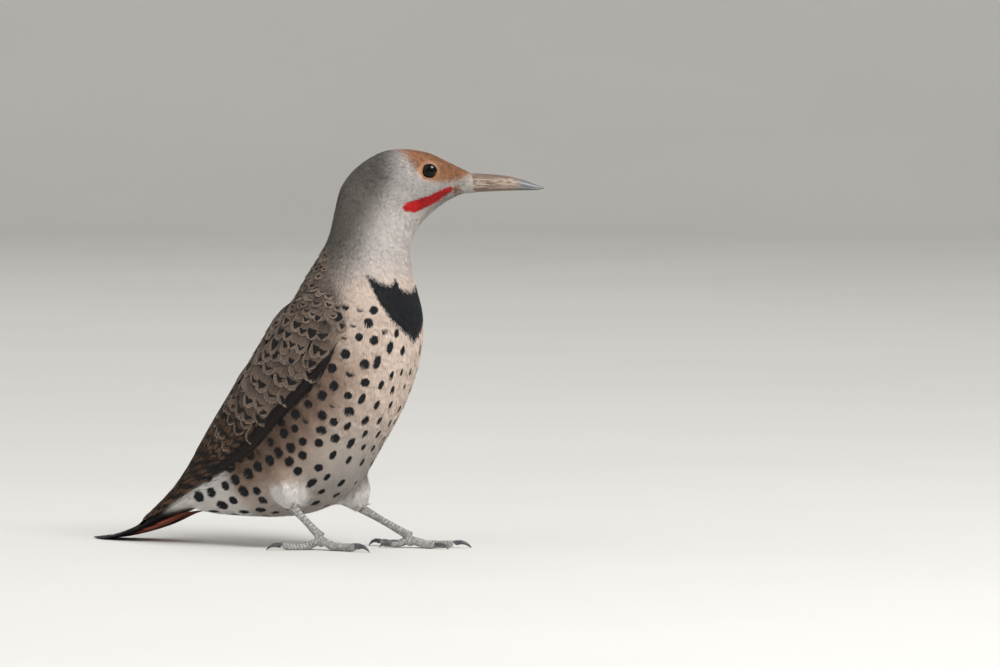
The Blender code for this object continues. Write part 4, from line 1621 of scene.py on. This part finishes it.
class FLICKER_OT_body_coat(bpy.types.Operator):
    """Add the soft feathers of breast, flanks and belly"""

    bl_idname = "flicker.body_coat"
    bl_label = "Add body coat"

    def execute(self, context):
        bird, sizes, looks = shared()
        named = bird.line.named
        soft = plumage_material(looks, "body_feathers", root_shade=0.68, variation=0.13)
        low, high = named["undertail"] - 8 * MM, named["neck_base"]

        def part(start, end, side=0):
            def weight(centres, normals):
                reach, angle, _ = bird.line.locate(centres)
                inside = (reach > start) & (reach <= end) & (cloaked(bird, reach, angle) < 0.14)
                inside &= (np.abs(angle) > 1.5) | (reach > named["rump"])
                return inside & (angle * side >= 0)
            return weight

        plans = (("breast", 5600, part(named["belly"], high)),
                 ("left", 3700, part(named["flank"], named["belly"], 1)),
                 ("right", 3700, part(named["flank"], named["belly"], -1)),
                 ("vent", 4400, part(low, named["flank"])))
        for number, (name, count, weight) in enumerate(plans):
            coat(bird, looks, f"body_coat_{name}", soft, "body", count, 50 + number, weight,
                 sizes.body_tuft, sizes.body_depth * 0.75)
        return {"FINISHED"}


def grown(data, by):
    """A bmesh of the mesh, moved out along its normals."""
    mesh, points, normals = opened(data)
    return moved(mesh, points + normals * by)


def bridged_form(bird, gap):
    """The body's form with its creases filled, as the loose feathers of the thighs bridge them."""
    filled = remeshed(grown(bird.form, gap), voxel=1.2 * MM, smoothing=2)
    return remeshed(grown(filled, -gap), voxel=1.2 * MM, smoothing=4)


class FLICKER_OT_thigh_coat(bpy.types.Operator):
    """Add the loose white feathers of the thighs"""

    bl_idname = "flicker.thigh_coat"
    bl_label = "Add thigh coat"

    def execute(self, context):
        bird, sizes, looks = shared()
        loose = plumage_material(looks, "thigh_feathers", root_shade=0.62, variation=0.2)
        form = bridged_form(bird, 7 * MM)
        for number, (side, (low, high)) in enumerate(zip(SIDES, thighs())):
            above = np.array((6.0, 2.0, 12.0)) * MM

            def weight(centres, normals, low=low - 3 * MM, high=high + above):
                return np.all((centres > low) & (centres < high), axis=1).astype(float)

            coat(bird, looks, f"thigh_coat_{side}", loose, "thigh", 2500, 60 + number, weight,
                 sizes.thigh_tuft, sizes.body_depth * 0.6, form)
        return {"FINISHED"}


# --- back, wings and tail

# Number, start and breadth of the anchors, each with its spread: some are broad, some hardly there.
ANCHOR = ((1.45, 0.08), (0.4, 0.09), (1.15, 0.42))
# Shares of a long feather's length at which its path is laid.
RUN = np.linspace(0.0, 1.0, 12)


def jittered(values, rng, amount):
    """Values with a small random change each."""
    return np.asarray(values) + rng.normal(0.0, amount, np.shape(values))


def strewn(bird, rng, distances, angles, apart, swing, slant=0.0):
    """Rows of feathers made a little irregular: distances along the body, places and headings."""
    distances = jittered(distances, rng, 1.3 * MM)
    places, _ = bird.ray(distances, jittered(angles, rng, apart))
    index = bird.line.locate(places)[2]
    sway = slant + jittered(np.zeros((len(index), 1)), rng, swing)
    return distances, places, sway * bird.line.side[index] - bird.line.along[index]


def anchored(bird, looks, rng, places, heading, long, half, low):
    """Paths, half widths, tones and bars of feathers that show one dark anchor each."""
    count = len(places)
    long, half = (value * rng.uniform(0.86, 1.12, count) for value in (long, half))
    tone = mixed(looks.back, looks.back_low, low) * rng.uniform(0.64, 1.22, (count, 1))
    number, start, breadth = (jittered(np.full(count, middle), rng, spread) for middle, spread in ANCHOR)
    bars = np.stack([number, start, np.clip(breadth, 0.0, 1.8)], 1)
    return laid(bird, places, heading, long), half, tone, bars


class FLICKER_OT_back_feathers(bpy.types.Operator):
    """Add the flecked feathers of the shoulders, mantle and rump"""

    bl_idname = "flicker.back_feathers"
    bl_label = "Add back feathers"

    def execute(self, context):
        everything = shared()
        self.shoulders(*everything)
        self.mantle(*everything)
        self.rump(*everything)
        return {"FINISHED"}

    def shoulders(self, bird, sizes, looks):
        """Small loose feathers between the neck and the first rows of barred ones."""
        named = bird.line.named

        def weight(centres, normals):
            reach, angle, _ = bird.line.locate(centres)
            inside = (reach > named["breast"]) & (reach < named["neck_base"] + 12 * MM)
            return inside & (cloaked(bird, reach, angle) > -0.16)

        loose = plumage_material(looks, "shoulder_feathers", root_shade=0.42, variation=0.5)
        coat(bird, looks, "shoulder_coat", loose, "shoulder", 3400, 64, weight, sizes.neck_tuft * 1.05,
             sizes.body_depth * 0.6)

    def mantle(self, bird, sizes, looks):
        """Rows down the back, small at the shoulders and larger towards the rump."""
        named, wing = bird.line.named, bird.wings["left"]
        distances, angles = [], []
        distance, row = named["neck_base"] + 12 * MM, 0
        while distance > named["rump"] + 4 * MM:
            spacing = np.interp(distance, (named["back"], named["shoulder"]), (7.3 * MM, 4.0 * MM))
            edge = abs(wing.angles(distance, 0.12))
            if distance > wing.reach(0.08):
                edge = cloaked(bird, distance, 0.0) - 0.06
            step = 1.05 * spacing / max(bird.radius(distance, 0.0), 12 * MM)
            for angle in staggered(row, step, edge):
                if abs(angle) < edge + 0.4 * step and edge > 0.1:
                    angles.append(angle)
                    distances.append(distance)
            distance -= spacing
            row += 1
        rng = np.random.default_rng(70)
        distances, places, heading = strewn(bird, rng, distances, angles, 0.05, 0.24)
        small = 1.0 - 0.5 * ramp(distances, named["back"], named["shoulder"])
        low = eased((named["flank"] - distances) / (20 * MM))
        paths, half, tone, bars = anchored(bird, looks, rng, places, heading, sizes.mantle_long * small,
                                           sizes.mantle_wide / 2 * small, low)
        vaned(bird, "mantle_feathers", covert_material(looks, "mantle_vanes"), paths, tone, bars, seed=71,
              barbs=22, half=half, height=0.1 * MM, root_drop=0.8 * MM, lift=0.22 * MM)

    def rump(self, bird, sizes, looks):
        """White rump, and the barred coverts that lie over the tail's root."""
        rng = np.random.default_rng(72)
        line, named = bird.line, bird.line.named
        start, end = named["rump"] + 6 * MM, named["undertail"] - 12 * MM
        rows = int((start - end) / (4.5 * MM))
        row, beside = np.divmod(np.arange((rows + 1) * 7), 7)
        distances = jittered(start + (end - start) * row / rows, rng, 0.6 * MM)
        angles = jittered((beside - 3 + 0.5 * (row % 2)) * 0.2, rng, 0.03)
        places, _ = bird.ray(distances, angles)
        paths = laid(bird, places, -line.along[line.locate(places)[2]], 11 * MM)
        count = len(places)
        low = eased((named["undertail"] - distances) / (14 * MM))
        bars = np.stack([np.full(count, 2.2), jittered(np.full(count, 0.1), rng, 0.08), low * 0.95], 1)
        white = vane_material("rump_vanes", looks.black, looks.white, looks.quill, Bar_Width=0.38,
                              Bar_Curve=0.2, Fringe_Width=0.1, Variation=0.15)
        vaned(bird, "rump_feathers", white, paths, np.array(looks.white) * 0.95, bars, seed=73, barbs=14,
              half=4.0 * MM, height=-0.32 * MM, root_drop=0.6 * MM, lift=0.04 * MM)


def covert_material(looks, name):
    """Feathers with one black anchor each, a paler rim, and round it a thin dark line of painted shadow."""
    return vane_material(name, looks.black, looks.back_fringe, darker(looks.back_low, 0.4), Bar_Width=0.34,
                         Bar_Curve=0.22, Bar_Taper=1.35, Fringe_Width=0.16, Rim_Line=0.9, Variation=0.5)


class FLICKER_OT_wing_feathers(bpy.types.Operator):
    """Add the coverts and flight feathers of the folded wings"""

    bl_idname = "flicker.wing_feathers"
    bl_label = "Add wing feathers"

    def execute(self, context):
        bird, _, looks = shared()
        covert = covert_material(looks, "covert_vanes")
        quill = vane_material("quill_vanes", looks.quill, darker(looks.quill_bar, 0.6), looks.quill_shaft,
                              Bar_Width=0.6, Bar_Curve=0.1, Bar_Taper=0.55, Middle=0.16, Fringe_Width=0.0,
                              Variation=0.3)
        for number, side in enumerate(SIDES):
            self.coverts(bird, looks, side, covert, 80 + number)
            self.quills(bird, looks, side, quill, 90 + number)
        return {"FINISHED"}

    def coverts(self, bird, looks, side, vanes, seed):
        """Rows from the shoulder backwards: lesser, median and greater coverts."""
        wing = bird.wings[side]
        # Share of the wing's length, feather length and width, spacing and height, in mm.
        rows = [(share, 9.0 + 40 * share, 7.5, 5.4, 0.4) for share in np.arange(0.09, 0.17, 0.032)]
        rows += [(share, 14.5, 11.0, 7.6, 0.42) for share in np.arange(0.19, 0.40, 0.05)]
        rows += [(0.425, 13.0, 8.0, 5.6, 0.38), (0.465, 14.0, 8.0, 5.6, 0.34), (0.51, 20.0, 8.5, 5.6, 0.28)]
        feathers = []
        for row, (share, long, wide, spacing, raised) in enumerate(rows):
            distance = wing.reach(share)
            inner, outer = (wing.angles(distance, edge) for edge in (0.0, 1.0 - 0.26 * share))
            radius = bird.radius(distance, (inner + outer) / 2)
            count = max(int(abs(outer - inner) * radius / (spacing * MM)), 2)
            for k in range(count):
                across = min((k + 0.5 + 0.5 * (row % 2) - 0.25) / count, 0.98)
                feathers.append((distance, inner + (outer - inner) * across, long * MM, wide * MM / 2,
                                 raised * MM, share))
        distances, angles, long, half, raised, share = np.array(feathers).T
        rng = np.random.default_rng(seed)
        _, places, heading = strewn(bird, rng, distances, angles, 0.045, 0.22, wing.sign * 0.06)
        low = eased((share - 0.36) / 0.1)
        paths, half, tone, bars = anchored(bird, looks, rng, places, heading, long, half, low)
        bars[share > 0.4, :2] = 2.3, 0.6
        vaned(bird, f"wing_coverts_{side}", vanes, paths, tone, bars, seed=seed, barbs=22, half=half,
              height=raised, root_drop=0.6 * MM, lift=0.15 * MM)

    def quills(self, bird, looks, side, vanes, seed):
        """Edge feathers, tertials, secondaries and primaries, each row lying over the next."""
        rng = np.random.default_rng(seed)
        wing = bird.wings[side]
        # The first set, black all over, lies along the wing's lower edge as painted shadow in the gap between
        # wing and flank.
        sets = (
            # count, root share, root across, tip share, tip across, half width, height, bars, breadth
            (8, (0.13, 0.44), (1.0, 0.90), (0.40, 0.72), (1.0, 0.96), 2.8, 0.5, 1.0, 2.2),
            (3, (0.46, 0.49), (0.10, 0.34), (0.80, 0.72), (0.18, 0.44), 6.6, 0.36, 6.0, 0.9),
            (5, (0.44, 0.50), (0.40, 0.86), (0.71, 0.66), (0.50, 0.96), 5.2, 0.22, 6.0, 0.95),
            (8, (0.46, 0.53), (0.45, 0.96), (0.81, 1.0), (0.12, 0.80), 4.2, 0.08, 8.0, 1.05),
        )
        paths, feathers = [], []
        for count, *places, wide, raised, bar_count, breadth in sets:
            for k in range(count):
                part = k / (count - 1)
                begin, first, end, last = (low + (high - low) * part for low, high in places)
                distance = wing.reach(begin + (end - begin) * RUN)
                paths.append((distance, wing.angles(distance, first + (last - first) * RUN)))
                bars = (bar_count, rng.random(), breadth)
                shade = rng.uniform(0.75, 1.05) * (1.0 if breadth < 1 else 0.75)
                feathers.append((wide * MM, (raised - 0.014 * k) * MM, shade, *bars))
        half, height, shade, *bars = np.array(feathers).T
        tone = np.array(looks.quill_bar) * shade[:, None]
        paths = charted(bird, *np.array(paths).transpose(1, 0, 2))
        vaned(bird, f"flight_feathers_{side}", vanes, paths, tone, np.stack(bars, 1), seed=seed, barbs=70,
              half=half, height=height, root_drop=0.1 * MM, point=0.25, camber=0.15)


class FLICKER_OT_tail_feathers(bpy.types.Operator):
    """Add the stiff pointed tail feathers, above and below"""

    bl_idname = "flicker.tail_feathers"
    bl_label = "Add tail feathers"

    def execute(self, context):
        bird, _, looks = shared()
        upper = vane_material("tail_vanes", looks.quill, looks.quill_bar, looks.quill_shaft, Bar_Width=0.75,
                              Bar_Curve=-0.1, Middle=0.4, Fringe_Width=0.0, Variation=0.2)
        lower = vane_material("tail_under_vanes", looks.black, looks.under_tail, looks.quill_shaft,
                              Bar_Width=0.4, Bar_Curve=0.0, Fringe_Width=0.0, Variation=0.2)
        self.fan(bird, "tail_feathers_upper", upper, looks, 1.0, 100)
        self.fan(bird, "tail_feathers_under", lower, looks, -1.0, 101)
        return {"FINISHED"}

    def fan(self, bird, name, vanes, looks, facing, seed):
        """Six pairs from the middle outwards. The middle pair lies on top, seen from above."""
        rng = np.random.default_rng(seed)
        line, root = bird.line, bird.line.named["tail_root"] + 4 * MM
        # Tip's distance from the tail's tip, tip's distance from the middle, and half width, in mm.
        pairs = ((0.5, 1.9, 4.6), (3.5, 5.0, 4.8), (8.0, 7.6, 4.6), (13.0, 9.8, 4.2), (20.0, 11.4, 3.8),
                 (34.0, 12.6, 2.6))
        paths, half, height = [], [], []
        for pair, (tip, offset, wide) in enumerate(pairs):
            for sign in (-1.0, 1.0):
                distance = root + (tip * MM - root) * RUN
                beside = sign * MM * (0.8 + 0.9 * pair + (offset - 0.8 - 0.9 * pair) * RUN ** 0.8)
                centre = line.at(distance, line.points) + line.at(distance, line.side) * beside[:, None]
                paths.append(bird.outer.from_outside(centre, line.at(distance, line.dorsal) * facing, 0.03))
                half.append(wide * MM)
                height.append((-0.15 - 0.05 * (pair if facing > 0 else 5 - pair)) * MM)
        count = len(paths)
        if facing > 0:
            tone = np.array(looks.quill_bar) * rng.uniform(0.5, 0.8, (count, 1))
            bars = np.stack([np.full(count, 11.0), rng.random(count), np.full(count, 0.97)], 1)
        else:
            tone, bars = np.array(looks.under_tail) * rng.uniform(0.85, 1.1, (count, 1)), (1.0, -0.33, 1.0)
        vaned(bird, name, vanes, sided(*np.array(paths).transpose(1, 0, 2, 3)), tone, bars, seed=seed,
              barbs=64, half=half, height=height, root_drop=0.1 * MM, point=0.9, camber=0.2)


# --- studio

# The view's middle beside the bird's, as a share of the bird's length, and above the floor, as a
# share of its height.
ASIDE, RAISED = 0.4236, 0.533


def outwards(turn, rise):
    """The direction from the bird at an angle round it and above the horizon."""
    return Vector((math.sin(turn) * math.cos(rise), -math.cos(turn) * math.cos(rise), math.sin(rise)))


def aimed(data, place, back, distance):
    """A camera or lamp that looks at a place from that far away."""
    item = bpy.data.objects.new(data.name, data)
    item.location = place + back * distance
    item.rotation_euler = (-back).to_track_quat("-Z", "Y").to_euler()
    bpy.context.scene.collection.objects.link(item)
    return item


class FLICKER_OT_stage(bpy.types.Operator):
    """Set up the pale floor, the soft lights and the camera"""

    bl_idname = "flicker.stage"
    bl_label = "Set up studio"

    def execute(self, context):
        scene, studio = context.scene, context.scene.flicker_studio
        low, high = (Vector(corner) for corner in CAD_BOX)
        self.backdrop(scene.flicker_colours)
        right = Vector((math.cos(studio.turn), math.sin(studio.turn), 0.0))
        middle = (low + high) / 2
        target = Vector((*middle.xy, RAISED * high.z)) + right * ASIDE * (high.x - low.x)
        data = bpy.data.cameras.new("camera")
        data.sensor_width = 36.0
        data.lens = data.sensor_width * studio.distance / studio.frame_width
        data.clip_start, data.clip_end = 0.05, 50.0
        scene.camera = aimed(data, target, outwards(studio.turn, studio.rise), studio.distance)
        # Turn from the camera, rise, distance, size and power of each lamp.
        lamps = {"key": (42, 45, 3.4, 1.2, studio.key), "fill": (-50, 30, 4.0, 3.0, studio.fill),
                 "back": (-165, 40, 4.0, 2.2, studio.fill)}
        for name, (turn, rise, distance, size, power) in lamps.items():
            data = bpy.data.lights.new(name, "AREA")
            data.shape, data.size, data.energy = "SQUARE", size, power
            aimed(data, middle, outwards(studio.turn + math.radians(turn), math.radians(rise)), distance)
        world = bpy.data.worlds.new("studio")
        world.use_nodes = True
        light = world.node_tree.nodes["Background"].inputs
        light["Color"].default_value = (1.0, 1.0, 1.0, 1.0)
        light["Strength"].default_value = studio.ambient
        scene.world = world
        scene.view_settings.view_transform = "Standard"
        return {"FINISHED"}

    def backdrop(self, looks):
        """A pale floor that curves up into a plain wall on every side."""
        radius, bend, wall, bend_steps = 5.0, 1.5, 3.0, 12
        mesh = bmesh.new()
        turns = [math.pi / 2 * step / bend_steps for step in range(bend_steps + 1)]
        curve = [(radius + bend * math.sin(turn), 0.0, bend * (1 - math.cos(turn))) for turn in turns]
        places = ((0.0, 0.0, 0.0), *curve, (radius + bend, 0.0, bend + wall))
        profile = [mesh.verts.new(place) for place in places]
        for pair in zip(profile, profile[1:]):
            mesh.edges.new(pair)
        turned(mesh, 96, 0.1 * MM)
        bmesh.ops.recalc_face_normals(mesh, faces=mesh.faces)
        bmesh.ops.reverse_faces(mesh, faces=mesh.faces)
        floor = made("floor", mesh)
        pale = mottled("floor", darker(looks.floor, 0.97), looks.floor, scale=3.0, roughness=0.9)
        floor.data.materials.append(pale)


# --- add-on


class FLICKER_PT_panel(bpy.types.Panel):
    """Lists the bird's pieces and their settings"""

    bl_idname = "FLICKER_PT_panel"
    bl_label = "Flicker"
    bl_space_type = "VIEW_3D"
    bl_region_type = "UI"
    bl_category = "Flicker"

    def draw(self, context):
        layout = self.layout
        for group in ("flicker_sizes", "flicker_colours", "flicker_studio"):
            held = getattr(context.scene, group)
            column = layout.column(align=True)
            for name in held.bl_rna.properties.keys():
                if name not in ("rna_type", "name"):
                    column.prop(held, name)
        for step in STEPS:
            layout.operator(step.bl_idname)


STEPS = (
    FLICKER_OT_stage,
    FLICKER_OT_skin,
    FLICKER_OT_eyes,
    FLICKER_OT_bill,
    FLICKER_OT_legs,
    FLICKER_OT_claws,
    FLICKER_OT_head_coat,
    FLICKER_OT_body_coat,
    FLICKER_OT_thigh_coat,
    FLICKER_OT_back_feathers,
    FLICKER_OT_wing_feathers,
    FLICKER_OT_tail_feathers,
)
GROUPS = {"flicker_sizes": FlickerSizes, "flicker_colours": FlickerColours, "flicker_studio": StudioSettings}


def register():
    for group in (*GROUPS.values(), *STEPS, FLICKER_PT_panel):
        bpy.utils.register_class(group)
    for name, group in GROUPS.items():
        setattr(bpy.types.Scene, name, bpy.props.PointerProperty(type=group))


def unregister():
    for name in GROUPS:
        delattr(bpy.types.Scene, name)
    for group in reversed((*GROUPS.values(), *STEPS, FLICKER_PT_panel)):
        bpy.utils.unregister_class(group)


def main():
    register()
    for step in STEPS:
        space, name = step.bl_idname.split(".")
        getattr(getattr(bpy.ops, space), name)()


if __name__ == "__main__":
    main()
